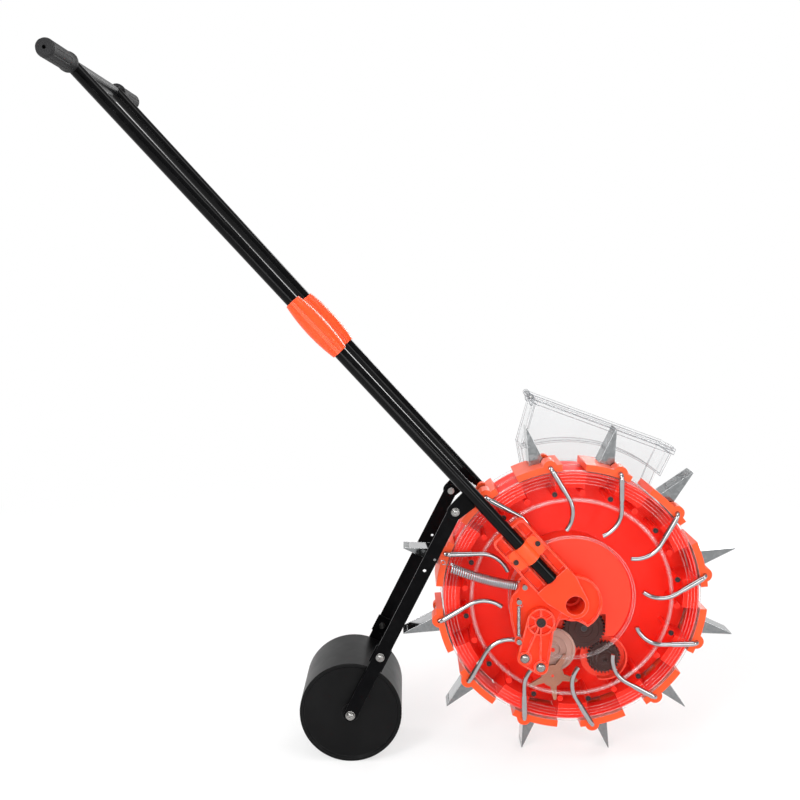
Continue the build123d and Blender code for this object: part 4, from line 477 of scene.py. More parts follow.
@dataclass(frozen=True)
class ClearMoulding:
    """Clear plastic: a thin shiny film with a faint haze and denser edges."""

    colour: Colour
    edge_colour: Colour
    shine: float = 0.10
    haze: float = 0.05
    roughness: float = 0.05
    edge: float = 0.0015
    edge_share: float = 0.5
    metal: float = 0.75
    dulling: float = 0.10
    clouds: float = 14.0
    waves: float = 30.0
    wave_depth: float = 0.0002
    rounding: float = 0.0009

    def build(self, name: str) -> bpy.types.Material:
        """Makes the material.

        Args:
            name: Its name.

        Returns:
            The material.
        """
        graph = Graph(name)
        where = graph.place()
        clouds = graph.noise(where, self.clouds, detail=4.0, roughness=0.6)
        cloud = graph.contrast(clouds, low=0.35, high=0.7)
        edge = graph.edges(self.edge)
        wave = graph.noise(where, self.waves, detail=2.0, roughness=0.4)
        duller = shade(self.colour, factor=0.94)
        return graph.film(
            graph.between(self.shine, self.shine + self.haze, cloud) + edge * self.edge_share,
            Base_Color=graph.mix(edge, graph.mix(cloud, self.colour, duller), self.edge_colour),
            Metallic=self.metal,
            Roughness=graph.between(self.roughness, self.roughness + self.dulling, cloud),
            Normal=graph.relief(wave, self.wave_depth, self.rounding),
        )


@dataclass(frozen=True)
class Backdrop:
    """Pale floor that keeps the shadow near the object and is plain white far from it."""

    colour: Colour
    lift: float = 0.62
    near: float = 0.7
    far: float = 2.4
    clouds: float = 3.0
    roughness: float = 0.6

    def build(self, name: str) -> bpy.types.Material:
        """Makes the material.

        Args:
            name: Its name.

        Returns:
            The material.
        """
        graph = Graph(name)
        where = graph.place()
        darker = shade(self.colour, factor=0.985)
        colour = graph.mix(graph.noise(where, self.clouds, detail=4.0), darker, self.colour)
        sockets = {"Color": colour, "Roughness": self.roughness}
        sheet = graph.wire("ShaderNodeBsdfDiffuse", 0, None, sockets)
        white = graph.wire("ShaderNodeEmission", 0, None, {"Color": WHITE, "Strength": 1.0})
        reach = graph.wire("ShaderNodeVectorMath", "Value", {"operation": "LENGTH"}, {0: where})
        far = graph.contrast(reach, self.near, self.far)
        share = graph.seen() * graph.between(self.lift, 1.0, far)
        return graph.end(graph.blend(share, sheet, white))


FINISHES: dict[str, Finish] = {
    "tube_black": Paint((0.0018, 0.0018, 0.0021), roughness=0.12, coat=0.10, gloss=0.08),
    "bar_black": Paint((0.005, 0.005, 0.006), roughness=0.36, coat=0.08, gloss=0.2),
    "arm_black": Paint((0.0018, 0.0018, 0.0022), roughness=0.30, coat=0.01, gloss=0.04),
    "grip_grey": Moulding(
        (0.014, 0.014, 0.015),
        roughness=0.62,
        variation=0.25,
        grain=Grain.COARSE,
        depth=0.00003,
        edge=0.0010,
        coat=0.0,
        gloss=0.2,
        wear_and_highlight_lift=0.02,
    ),
    "roller_black": Moulding(
        (0.0024, 0.0024, 0.0027),
        roughness=0.36,
        variation=0.22,
        grain=Grain.COARSE,
        depth=0.00002,
        edge=0.0012,
        coat=0.0,
        gloss=0.12,
        wear_and_highlight_lift=0.02,
    ),
    "sleeve_orange": Moulding(
        (0.94, 0.084, 0.013), roughness=0.36, variation=0.04, gloss=0.3, depth_glow=0.04
    ),
    # Its much paler edges are mostly a painted highlight along the bracket's raised rims and ribs.
    "bracket_orange": Moulding(
        (0.94, 0.052, 0.010),
        roughness=0.40,
        variation=0.04,
        edge=0.0013,
        coat=0.03,
        gloss=0.2,
        depth_glow=0.04,
        wear_and_highlight_lift=0.24,
    ),
    "hub_orange": Moulding(
        (0.92, 0.044, 0.016), roughness=0.40, variation=0.04, gloss=0.25, depth_glow=0.03
    ),
    "drum_orange": Moulding(
        (0.95, 0.022, 0.009), roughness=0.44, variation=0.04, coat=0.03, gloss=0.10, depth_glow=0.03
    ),
    "gear_brown": Moulding(
        (0.055, 0.022, 0.019), roughness=0.50, variation=0.25, edge=0.0006, coat=0.0, gloss=0.2
    ),
    "star_tan": Moulding(
        (0.40, 0.175, 0.11), roughness=0.42, variation=0.12, edge=0.0005, depth_glow=0.06
    ),
    "disc_beige": Moulding(
        (0.47, 0.28, 0.23), roughness=0.40, variation=0.10, edge=0.0005, depth_glow=0.06
    ),
    "meter_dark": Moulding((0.030, 0.030, 0.032), roughness=0.45, variation=0.2, edge=0.0005),
    "clear_plastic": ClearMoulding(
        (0.92, 0.90, 0.90),
        edge_colour=(0.85, 0.80, 0.80),
        shine=0.0015,
        haze=0.0025,
        roughness=0.03,
        edge=0.0011,
        edge_share=0.12,
    ),
    "hopper_clear": ClearMoulding(
        (0.40, 0.42, 0.44),
        edge_colour=(0.30, 0.31, 0.33),
        shine=0.055,
        haze=0.015,
        roughness=0.10,
        edge=0.0020,
        edge_share=0.25,
        metal=0.2,
    ),
    "screw_dark": Plating((0.055, 0.045, 0.045), roughness=0.22, lines=(300.0, 300.0, 300.0)),
    "bolt_zinc": Plating((0.34, 0.335, 0.325), roughness=0.10, lines=(300.0, 300.0, 300.0)),
    "spring_steel": Plating((0.52, 0.53, 0.55), roughness=0.12, lines=(500.0, 500.0, 500.0)),
    "lever_chrome": Plating((0.46, 0.46, 0.47), roughness=0.035),
    "beak_zinc": Galvanised((0.27, 0.28, 0.285), roughness=0.12),
}

EDGE_FINISHES: dict[str, Finish] = {
    "clear_plastic": ClearMoulding(
        (0.93, 0.90, 0.90),
        edge_colour=(0.93, 0.90, 0.90),
        shine=0.30,
        haze=0.10,
        roughness=0.05,
        edge=0.0003,
        edge_share=0.0,
        metal=0.6,
    ),
    "hopper_clear": ClearMoulding(
        (0.36, 0.37, 0.39),
        edge_colour=(0.36, 0.37, 0.39),
        shine=0.36,
        haze=0.10,
        roughness=0.10,
        edge=0.0003,
        edge_share=0.0,
        metal=0.3,
    ),
}


class Palette:
    """Every finish, made once."""

    def __init__(self) -> None:
        """Builds one material for each of the record's slots."""
        self.made = {name: finish.build(name) for name, finish in FINISHES.items()}
        self.edges = {name: finish.build(f"{name}_edge") for name, finish in EDGE_FINISHES.items()}

    def dress_frame(self) -> int:
        """Gives each CAD node the finish of its slot.

        Returns:
            How many nodes were dressed.
        """
        slots = {row["node"]: row["material_slot"] for row in frame["record"]["subparts"]}
        for name, node in frame["nodes"].items():
            material = self.made[slots[name]]
            node.visible_shadow = slots[name] not in EDGE_FINISHES
            if node.material_slots:
                for slot in node.material_slots:
                    slot.material = material
            else:
                node.data.materials.append(material)
        return len(frame["nodes"])

    def dress(self, piece: bpy.types.Object, slot: str, edge: bool = False) -> None:
        """Gives a new piece the finish of a slot.

        Args:
            piece: The piece.
            slot: The record's slot.
            edge: Whether it is a thick edge of a clear piece, which shows more.
        """
        piece.data.materials.clear()
        piece.data.materials.append(self.edges[slot] if edge else self.made[slot])
        piece.visible_shadow = not edge


class Trim(Protocol):
    """A group of pieces that the CAD model doesn't have."""

    def build(self, palette: Palette) -> list[bpy.types.Object]:
        """Makes the pieces and dresses them."""


class Bench:
    """Hand tools for modelling with operators."""

    @staticmethod
    def clear() -> None:
        """Leaves edit mode and deselects everything."""
        if bpy.context.object and bpy.context.object.mode != "OBJECT":
            bpy.ops.object.mode_set(mode="OBJECT")
        bpy.ops.object.select_all(action="DESELECT")

    @staticmethod
    def only(piece: bpy.types.Object) -> None:
        """Selects one object and makes it active.

        Args:
            piece: The object.
        """
        Bench.clear()
        piece.select_set(True)
        bpy.context.view_layer.objects.active = piece

    @staticmethod
    def name(label: str) -> bpy.types.Object:
        """Names the active object and its mesh.

        Args:
            label: The name.

        Returns:
            The object.
        """
        piece = bpy.context.object
        piece.name = label
        piece.data.name = label
        return piece

    @staticmethod
    def settle(piece: bpy.types.Object) -> None:
        """Moves the object's place into its mesh."""
        Bench.only(piece)
        bpy.ops.object.transform_apply(location=True, rotation=True, scale=True)

    @staticmethod
    @contextmanager
    def editing(piece: bpy.types.Object) -> Iterator[None]:
        """Edit mode of one object, with its whole mesh selected at first.

        Args:
            piece: The object.

        Yields:
            Nothing; edit mode ends with the block.
        """
        Bench.only(piece)
        bpy.ops.object.mode_set(mode="EDIT")
        bpy.ops.mesh.select_all(action="SELECT")
        yield
        bpy.ops.object.mode_set(mode="OBJECT")

    @staticmethod
    def pick(piece: bpy.types.Object, kind: Pick, test: Callable[[Vector], bool]) -> None:
        """Selects parts of the mesh in edit mode by their place.

        Args:
            piece: The object being edited.
            kind: Points or edges.
            test: Says whether a part's middle is wanted.
        """
        bpy.ops.mesh.select_mode(type=kind.value)
        bpy.ops.mesh.select_all(action="DESELECT")
        mesh = bmesh.from_edit_mesh(piece.data)
        for part in mesh.verts if kind is Pick.POINTS else mesh.edges:
            points = [part.co] if kind is Pick.POINTS else [vertex.co for vertex in part.verts]
            if test(sum(points, Vector()) / len(points)):
                part.select_set(True)
        mesh.select_flush_mode()
        bmesh.update_edit_mesh(piece.data)

    @staticmethod
    def modify(piece: bpy.types.Object, kind: str, **settings: object) -> None:
        """Adds a modifier and applies it.

        Args:
            piece: The object.
            kind: The modifier's type.
            **settings: Its properties.
        """
        Bench.only(piece)
        modifier = piece.modifiers.new(kind.lower(), kind)
        for key, value in settings.items():
            setattr(modifier, key, value)
        bpy.ops.object.modifier_apply(modifier=modifier.name)

    @staticmethod
    def chamfer(piece: bpy.types.Object, width: float) -> None:
        """Rounds the piece's sharp edges to a width and shades it smooth."""
        Bench.modify(piece, "BEVEL", width=width, segments=2, limit_method="ANGLE")
        Bench.smooth(piece)

    @staticmethod
    def smooth(piece: bpy.types.Object, degrees: float = 40.0) -> None:
        """Shades the piece smooth up to an angle."""
        Bench.only(piece)
        bpy.ops.object.shade_smooth_by_angle(angle=math.radians(degrees))

    @staticmethod
    def outward(piece: bpy.types.Object) -> None:
        """Merges doubles and turns the faces outwards.

        Args:
            piece: The object.
        """
        with Bench.editing(piece):
            bpy.ops.mesh.remove_doubles(threshold=SAME_PLACE)
            bpy.ops.mesh.normals_make_consistent(inside=False)

    @staticmethod
    def turned(label: str, foot: Vector, axis: Vector, profile: Profile, segments: int) -> bpy.types.Object:
        """Turns a closed piece from a ring of edges that is drawn out step by step.

        Args:
            label: Its name.
            foot: The point that heights are measured from.
            axis: The way that heights go, along Y or Z.
            profile: Radius and height of each ring, from one closed end to the other.
            segments: Edges in each ring.

        Returns:
            The piece.
        """
        Bench.clear()
        radius, height = profile[0]
        bpy.ops.mesh.primitive_circle_add(
            vertices=segments,
            radius=radius,
            fill_type="NGON",
            location=foot + axis * height,
            rotation=axis.to_track_quat("Z", "Y").to_euler(),
        )
        piece = Bench.name(label)
        Bench.settle(piece)
        with Bench.editing(piece):
            for next_radius, next_height in profile[1:]:
                step = tuple(axis * (next_height - height))
                ratio = next_radius / radius
                bpy.ops.mesh.extrude_edges_move(TRANSFORM_OT_translate={"value": step})
                bpy.ops.transform.resize(
                    value=(ratio,) * 3, center_override=tuple(foot + axis * next_height)
                )
                radius, height = next_radius, next_height
            bpy.ops.mesh.edge_face_add()
        Bench.outward(piece)
        return piece

    @staticmethod
    def copy(piece: bpy.types.Object, label: str, move: Matrix) -> bpy.types.Object:
        """Copies a piece with its own mesh and moves the copy's mesh.

        Args:
            piece: The piece to copy.
            label: The copy's name.
            move: Where the copy goes.

        Returns:
            The copy.
        """
        twin = piece.copy()
        twin.data = piece.data.copy()
        twin.name = label
        twin.data.name = label
        bpy.context.collection.objects.link(twin)
        twin.data.transform(move)
        return twin


def joint_place(name: str) -> Vector:
    """Where a joint is, in the row frame."""
    return Vector(next(joint["pos_m"] for joint in frame["joints"] if joint["name"] == name))


AXLE = joint_place("drum_spin")
BRACE_FROM_ROLLER = 118.2 * MM
STRIKER_HEAD_Y = -98.0 * MM
STRIKER_DOME_R = 6.8 * MM


def at(x: float, y: float, z: float) -> Vector:
    """Point given in millimetres from the drum's axle."""
    return AXLE + Vector((x, y, z)) * MM


def pointing(direction: Vector, side: Vector) -> Matrix:
    """Turn that takes +Z to a direction and keeps +X near a side.

    Args:
        direction: Where +Z goes.
        side: Where +X goes, as far as it can.

    Returns:
        The turn as a 4 by 4 matrix.
    """
    z = direction.normalized()
    x = (side - z * side.dot(z)).normalized()
    y = z.cross(x)
    return Matrix((x, y, z)).transposed().to_4x4()


@dataclass
class TensionSpring:
    """Close-wound spring with a straight lead and a hook at each end."""

    label: str
    node: str
    body: str
    start: Vector
    end: Vector
    coil_r: float
    wire_r: float
    turns: int
    leads: tuple[float, float]
    hook_r: float
    sag: float
    steps: int = 20
    ring: int = 10
    catch: float = 1.6  # wire radii round an end of the wire in which its points lie
    bend_share: float = 0.5  # radius of the bends, as a share of the coil's
    bend_steps: int = 6
    lean: float = 60.0
    lean_steps: int = 4
    inward: float = 0.75  # share of the way to the spring's middle that a lead goes
    shortest: float = 2.0 * MM
    hook_turn: float = 300.0
    hook_steps: int = 18

    def build(self, palette: Palette) -> list[bpy.types.Object]:
        """Winds the spring, bends its ends and hangs it between its anchors.

        Args:
            palette: The finishes.

        Returns:
            The spring.
        """
        coil = (self.end - self.start).length - sum(self.leads)
        Bench.clear()
        bpy.ops.mesh.primitive_circle_add(
            vertices=self.ring, radius=self.wire_r, location=(self.coil_r, 0, 0), rotation=RING_ABOUT_Y
        )
        piece = Bench.name(self.label)
        Bench.settle(piece)
        Bench.modify(
            piece,
            "SCREW",
            axis="Z",
            angle=math.tau,
            screw_offset=coil / self.turns,
            iterations=self.turns,
            steps=self.steps,
            render_steps=self.steps,
            use_normal_calculate=True,
        )
        with Bench.editing(piece):
            self._end(piece, 0.0, -1.0, self.leads[0])
            self._end(piece, coil, 1.0, self.leads[1])
        Bench.outward(piece)
        self._hang(piece, coil)
        Bench.smooth(piece, ROUND_SHADING)
        palette.dress(piece, "spring_steel")
        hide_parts(self.node)
        tuple(self.end)
        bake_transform(piece)
        return [piece]

    def _end(self, piece: bpy.types.Object, height: float, way: float, lead: float) -> None:
        """Bends one end of the wire to the spring's axis and closes it in a hook.

        Args:
            piece: The wire, in edit mode.
            height: Where the coil ends.
            way: Plus or minus one, the way out of the coil.
            lead: Length from the coil to the anchor.
        """
        bend = self.coil_r * self.bend_share
        lean = math.radians(self.lean)
        mouth = Vector((self.coil_r, 0, height))
        reach = Vector((self.wire_r * self.catch, SAME_PLACE, self.wire_r * self.catch))
        Bench.pick(
            piece,
            Pick.POINTS,
            lambda p: all(abs(off) < room for off, room in zip(p - mouth, reach)),
        )
        bpy.ops.mesh.spin(
            steps=self.bend_steps,
            angle=math.pi / 2,
            center=(self.coil_r, 0, height + way * bend),
            axis=(1, 0, 0),
        )
        bpy.ops.mesh.spin(
            steps=self.lean_steps,
            angle=way * lean,
            center=(self.coil_r - bend, way * bend, height + way * bend),
            axis=(0, -1, 0),
        )
        drop = self.coil_r - bend * (1 - math.cos(lean))
        rise = bend * (1 + math.sin(lean))
        straight = max(lead - rise - 2 * self.hook_r, self.shortest)
        slope = Vector((-drop * self.inward, -way * bend, way * straight))
        bpy.ops.mesh.extrude_region_move(TRANSFORM_OT_translate={"value": slope})
        tip = self._ring_middle(piece)
        bpy.ops.mesh.spin(
            steps=self.hook_steps,
            angle=way * math.radians(self.hook_turn),
            center=(tip.x + self.hook_r, tip.y, tip.z),
            axis=(0, 1, 0),
        )
        bpy.ops.mesh.edge_face_add()

    @staticmethod
    def _ring_middle(piece: bpy.types.Object) -> Vector:
        """Middle of the selected ring of points.

        Args:
            piece: The wire, in edit mode.

        Returns:
            The middle.
        """
        mesh = bmesh.from_edit_mesh(piece.data)
        chosen = [vertex.co for vertex in mesh.verts if vertex.select]
        return sum(chosen, Vector()) / len(chosen)

    def _hang(self, piece: bpy.types.Object, coil: float) -> None:
        """Sets the spring between its anchors with a slight bow.

        Args:
            piece: The finished wire along +Z.
            coil: Length of its coil.
        """
        along = self.end - self.start
        span = along.length
        turn = pointing(along, Vector((0, 0, 1)))
        origin = self.start + along.normalized() * self.leads[0]
        for vertex in piece.data.vertices:
            share = min(max((vertex.co.z + self.leads[0]) / span, 0.0), 1.0)
            bow = 4 * share * (1 - share)  # 0 at the anchors and 1 in the middle
            vertex.co = origin + (turn @ vertex.co) - Vector((0, 0, self.sag * bow))
        LOG.info("%s hung over %.0f mm, coil %.0f mm", self.label, span / MM, coil / MM)


@dataclass(frozen=True)
class Bolt:
    """A bolt through the press wheel's arms, with a head at each side; lengths in millimetres."""

    label: str
    body: str
    place: Vector
    washer_y: float
    head_y: float
    hole_r: float
    washer_r: float
    dome_r: float

    def seat(self, side: Side, reach: float) -> Vector:
        """Point of the bolt's axis at that reach from the machine's middle plane."""
        return Vector((self.place.x, AXLE.y + side.value * reach * MM, self.place.z))


@dataclass(frozen=True)
class Head:
    """The top of one bolt head."""

    label: str
    body: str
    seat: Vector
    radius: float
    side: Side


@dataclass
class WasherSet:
    """Rolled washers under the bolt heads."""

    bolts: tuple[Bolt, ...]
    thickness: float = 1.4 * MM
    edge: float = 0.35 * MM
    segments: int = 40

    def build(self, palette: Palette) -> list[bpy.types.Object]:
        """Makes a washer for each end of each bolt."""
        return [self._washer(palette, bolt, side) for side in Side for bolt in self.bolts]

    def _washer(self, palette: Palette, bolt: Bolt, side: Side) -> bpy.types.Object:
        """Makes one washer on its seat.

        Args:
            palette: The finishes.
            bolt: The bolt that it goes with.
            side: The end of the bolt, and the way that the washer faces.

        Returns:
            The washer.
        """
        seat = bolt.seat(side, bolt.washer_y)
        Bench.clear()
        bpy.ops.mesh.primitive_circle_add(
            vertices=self.segments, radius=bolt.hole_r * MM, location=seat, rotation=RING_ABOUT_Y
        )
        piece = Bench.name(f"{side.label}_{bolt.label}_washer")
        Bench.settle(piece)
        with Bench.editing(piece):
            ratio = bolt.washer_r / bolt.hole_r
            bpy.ops.mesh.extrude_edges_move()
            bpy.ops.transform.resize(value=(ratio,) * 3, center_override=tuple(seat))
            bpy.ops.mesh.select_all(action="SELECT")
            bpy.ops.mesh.extrude_region_move(
                TRANSFORM_OT_translate={"value": (0, side.value * self.thickness, 0)}
            )
        Bench.outward(piece)
        Bench.chamfer(piece, self.edge)
        palette.dress(piece, "bolt_zinc")
        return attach(piece, bolt.body)


@dataclass
class BoltDomes:
    """Rounded tops with a cross slot on the bolt heads; sizes as shares of a dome's radius."""

    heads: list[Head]
    profile: Profile = (
        (1.0, -0.02),
        (1.0, 0.06),
        (0.93, 0.15),
        (0.78, 0.23),
        (0.55, 0.29),
        (0.25, 0.32),
    )
    slot_length: float = 1.15
    slot_width: float = 0.22
    slot_floor: float = 0.07
    cutter_height: float = 1.0
    segments: int = 40
    twist: float = 37.0  # degrees from one dome's slot to the next one's

    def build(self, palette: Palette) -> list[bpy.types.Object]:
        """Makes one dome of radius 1 and sets a copy on each head.

        Args:
            palette: The finishes.

        Returns:
            The domes.
        """
        pattern = self._dome()
        domes = []
        for index, head in enumerate(self.heads):
            angle = math.radians(self.twist * index)
            slot = Vector((math.cos(angle), 0, math.sin(angle)))
            turn = pointing(Vector((0, head.side.value, 0)), slot)
            move = Matrix.Translation(head.seat) @ turn @ Matrix.Scale(head.radius, 4)
            piece = Bench.copy(pattern, head.label, move)
            palette.dress(piece, "bolt_zinc")
            domes.append(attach(piece, head.body))
        bpy.data.objects.remove(pattern)
        return domes

    def _dome(self) -> bpy.types.Object:
        """Turns the dome and cuts its cross slot.

        Returns:
            The dome, standing on the origin along +Z.
        """
        up = Vector((0, 0, 1))
        piece = Bench.turned("bolt_dome", Vector((0, 0, 0)), up, self.profile, self.segments)
        for turn in (0.0, math.pi / 2):
            Bench.clear()
            bpy.ops.mesh.primitive_cube_add(
                location=(0, 0, self.slot_floor + self.cutter_height / 2),
                rotation=(0, 0, turn),
                scale=(self.slot_length / 2, self.slot_width / 2, self.cutter_height / 2),
            )
            cutter = bpy.context.object
            Bench.modify(piece, "BOOLEAN", operation="DIFFERENCE", object=cutter, solver="EXACT")
            bpy.data.objects.remove(cutter)
        Bench.smooth(piece)
        return piece


@dataclass
class AxleBush:
    """Moulded bush in the near end of the axle tube, closed at its bottom.

    The profile gives radius and Y of each ring in millimetres.
    """

    profile: Profile = (
        (12.4, -24.0),
        (12.4, -51.2),
        (12.8, -51.6),
        (16.2, -51.6),
        (16.6, -51.2),
        (16.6, -50.05),
        (13.6, -50.05),
        (13.6, -21.0),
    )
    segments: int = 72

    def build(self, palette: Palette) -> list[bpy.types.Object]:
        """Turns the bush.

        Args:
            palette: The finishes.

        Returns:
            The bush.
        """
        profile = tuple((radius * MM, y * MM) for radius, y in self.profile)
        piece = Bench.turned("axle_bush", AXLE, Vector((0, 1, 0)), profile, self.segments)
        Bench.smooth(piece)
        palette.dress(piece, "hub_orange")
        return [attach(piece, "frame")]


@dataclass
class HandleWelds:
    """Weld beads where the tubes meet the crossbar."""

    tube_r: float = 11.0 * MM
    bar_r: float = 9.0 * MM
    bead_r: float = 1.7 * MM
    ripples: int = 22
    swell: float = 0.12
    ring_steps: int = 132
    bead_steps: int = 12
    shading: float = 70.0
    handle_angle: float = 132.6
    handle_length: float = 1211.0 * MM
    tube_top: float = 121.0 * MM
    lean: float = 28.0 / 1151.0  # outwards for each unit along the tube

    def build(self, palette: Palette) -> list[bpy.types.Object]:
        """Lays a bead round the top of each tube."""
        return [self._bead(palette, side) for side in Side]

    def _bead(self, palette: Palette, side: Side) -> bpy.types.Object:
        """Lays one bead, saddle-shaped to the bar.

        Args:
            palette: The finishes.
            side: Which tube.

        Returns:
            The bead.
        """
        angle = math.radians(self.handle_angle)
        up = Vector((math.cos(angle), 0, math.sin(angle)))
        out = Vector((0, side.value, 0))
        top = AXLE + up * self.handle_length + out * self.tube_top
        turn = pointing(up + out * self.lean, Vector((0, 1, 0)))
        Bench.clear()
        bpy.ops.mesh.primitive_torus_add(
            major_radius=self.tube_r,
            minor_radius=self.bead_r,
            major_segments=self.ring_steps,
            minor_segments=self.bead_steps,
        )
        piece = Bench.name(f"{side.label}_handle_weld")
        for vertex in piece.data.vertices:
            around = math.atan2(vertex.co.y, vertex.co.x)
            across = max(min(vertex.co.y, self.bar_r), -self.bar_r)
            swell = 1 + self.swell * math.cos(self.ripples * around + vertex.co.z / self.bead_r)
            ring = Vector((math.cos(around), math.sin(around), 0)) * self.tube_r
            bead = (vertex.co - ring) * swell
            drop = math.sqrt(max(self.bar_r**2 - across**2, 0.0))
            vertex.co = top + turn @ (ring + bead - Vector((0, 0, drop)))
        Bench.smooth(piece, self.shading)
        palette.dress(piece, "tube_black")
        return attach(piece, "frame")


@dataclass
class EdgeBeads:
    """Rounded edges of a clear moulding, where its plastic is thick enough to be seen."""

    node: str
    body: str
    slot: str
    radius: float
    seam_y: float | None = None
    seam_room: float = 0.05 * MM
    sharpness: float = 25.0
    roundness: int = 1

    def build(self, palette: Palette) -> list[bpy.types.Object]:
        """Runs a round bead along every sharp edge of the moulding.

        Args:
            palette: The finishes.

        Returns:
            The beads as one piece.
        """
        Bench.clear()
        bpy.ops.mesh.primitive_plane_add(size=1.0)
        piece = Bench.name(f"{self.node}_edges")
        piece.data = frame["nodes"][self.node].data.copy()
        piece.data.name = piece.name
        with Bench.editing(piece):
            bpy.ops.mesh.remove_doubles(threshold=SAME_PLACE)
            bpy.ops.mesh.select_mode(type=Pick.EDGES.value)
            bpy.ops.mesh.select_all(action="DESELECT")
            bpy.ops.mesh.edges_select_sharp(sharpness=math.radians(self.sharpness))
            if self.seam_y is not None:
                self._skip_seam(piece)
            bpy.ops.mesh.select_all(action="INVERT")
            bpy.ops.mesh.delete(type="EDGE")
        bpy.ops.object.convert(target="CURVE")
        piece.data.bevel_depth = self.radius
        piece.data.bevel_resolution = self.roundness
        bpy.ops.object.convert(target="MESH")
        Bench.smooth(piece, ROUND_SHADING)
        palette.dress(piece, self.slot, edge=True)
        return [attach(piece, self.body)]

    def _skip_seam(self, piece: bpy.types.Object) -> None:
        """Deselects the edges where the moulding meets its other half.

        Args:
            piece: The copy of the moulding, in edit mode.
        """
        mesh = bmesh.from_edit_mesh(piece.data)
        for edge in mesh.edges:
            if all(abs(vertex.co.y - self.seam_y) < self.seam_room for vertex in edge.verts):
                edge.select_set(False)
        bmesh.update_edit_mesh(piece.data)


@dataclass
class FaceRings:
    """Half-round rings moulded on the near face of a turned piece.

    Each ring is given by its radius and the radius of its bead, in millimetres.
    """

    label: str
    body: str
    slot: str
    centre: Vector
    rings: Profile
    edge: bool = False
    segments: int = 160
    bead_segments: int = 10
    sink: float = 0.05 * MM

    def build(self, palette: Palette) -> list[bpy.types.Object]:
        """Lays the rings on the face.

        Args:
            palette: The finishes.

        Returns:
            The rings.
        """
        made = []
        for number, (radius, bead) in enumerate(self.rings, start=1):
            Bench.clear()
            bpy.ops.mesh.primitive_torus_add(
                location=self.centre,
                rotation=RING_ABOUT_Y,
                major_radius=radius * MM,
                minor_radius=bead * MM,
                major_segments=self.segments,
                minor_segments=self.bead_segments,
            )
            piece = Bench.name(f"{self.label}_{number}")
            Bench.settle(piece)
            with Bench.editing(piece):
                bpy.ops.mesh.bisect(
                    plane_co=self.centre - Vector((0, self.sink, 0)),
                    plane_no=(0, 1, 0),
                    clear_outer=True,
                    use_fill=False,
                )
            Bench.smooth(piece, ROUND_SHADING)
            palette.dress(piece, self.slot, edge=self.edge)
            made.append(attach(piece, self.body))
        return made


@dataclass
class PocketLiners:
    """Outer walls of the drum's pockets, in front of the mouth openings; lengths in millimetres."""

    count: int = 12
    outer_r: float = 223.2
    wall: float = 2.4
    near_y: float = -53.2
    far_y: float = -4.0
    edge: float = 0.5
    middle_angle: float = 15.0
    span: float = 19.8
    steps: int = 10

    def build(self, palette: Palette) -> list[bpy.types.Object]:
        """Spins one wall and copies it to every pocket.

        Args:
            palette: The finishes.

        Returns:
            The walls.
        """
        first = self._wall(self.middle_angle - self.span / 2)
        walls = [first]
        for number in range(1, self.count):
            turn = Matrix.Rotation(-math.tau * number / self.count, 4, "Y")
            move = Matrix.Translation(AXLE) @ turn @ Matrix.Translation(-AXLE)
            walls.append(Bench.copy(first, f"pocket_liner_{number + 1:02d}", move))
        for wall in walls:
            palette.dress(wall, "drum_orange")
        return [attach(wall, "drum") for wall in walls]

    def _wall(self, start: float) -> bpy.types.Object:
        """Spins the section of one wall about the axle.

        Args:
            start: Angle where the wall starts, in degrees up from forward.

        Returns:
            The wall.
        """
        Bench.clear()
        middle = at(self.outer_r - self.wall / 2, (self.near_y + self.far_y) / 2, 0)
        section = (self.wall * MM, (self.far_y - self.near_y) * MM, 1.0)
        bpy.ops.mesh.primitive_plane_add(size=1.0, location=middle)
        piece = Bench.name("pocket_liner_01")
        Bench.settle(piece)
        with Bench.editing(piece):
            bpy.ops.transform.resize(value=section, center_override=tuple(middle))
            bpy.ops.transform.rotate(
                value=math.radians(-start), orient_axis="Y", center_override=tuple(AXLE)
            )
            bpy.ops.mesh.spin(
                steps=self.steps, angle=math.radians(self.span), center=tuple(AXLE), axis=(0, -1, 0)
            )
        Bench.outward(piece)
        Bench.chamfer(piece, self.edge * MM)
        return piece


@dataclass(frozen=True)
class SoftBox:
    """A soft box: where it hangs, what it points at, its size in metres and its power in watts."""

    label: str
    place: Triple
    target: Triple
    width: float
    height: float
    power: float

    def build(self) -> None:
        """Hangs the soft box."""
        Bench.clear()
        bpy.ops.object.light_add(type="AREA", location=self.place)
        lamp = bpy.context.object
        lamp.name = f"{self.label}_box"
        lamp.data.shape = "RECTANGLE"
        lamp.data.size = self.width
        lamp.data.size_y = self.height
        lamp.data.energy = self.power
        lamp.rotation_mode = "QUATERNION"
        lamp.rotation_quaternion = (Vector(self.target) - Vector(self.place)).to_track_quat("-Z", "Y")


SOFT_BOXES = (
    SoftBox("key", (-1.5, -2.6, 2.3), (0.2, 0.0, 0.4), width=0.9, height=1.7, power=46.0),
    SoftBox("fill", (2.6, -2.2, 1.1), (0.3, 0.0, 0.35), width=0.6, height=1.9, power=30.0),
    SoftBox("front", (0.2, -3.3, 0.75), (0.25, 0.0, 0.35), width=2.6, height=1.0, power=34.0),
    SoftBox("top", (0.2, -0.5, 3.0), (0.2, 0.0, 0.3), width=2.4, height=0.9, power=22.0),
    SoftBox("back", (1.2, 2.4, 1.9), (0.2, 0.0, 0.4), width=0.9, height=1.4, power=40.0),
    SoftBox("side", (-2.8, 0.9, 1.5), (0.1, 0.0, 0.4), width=0.8, height=1.6, power=30.0),
)


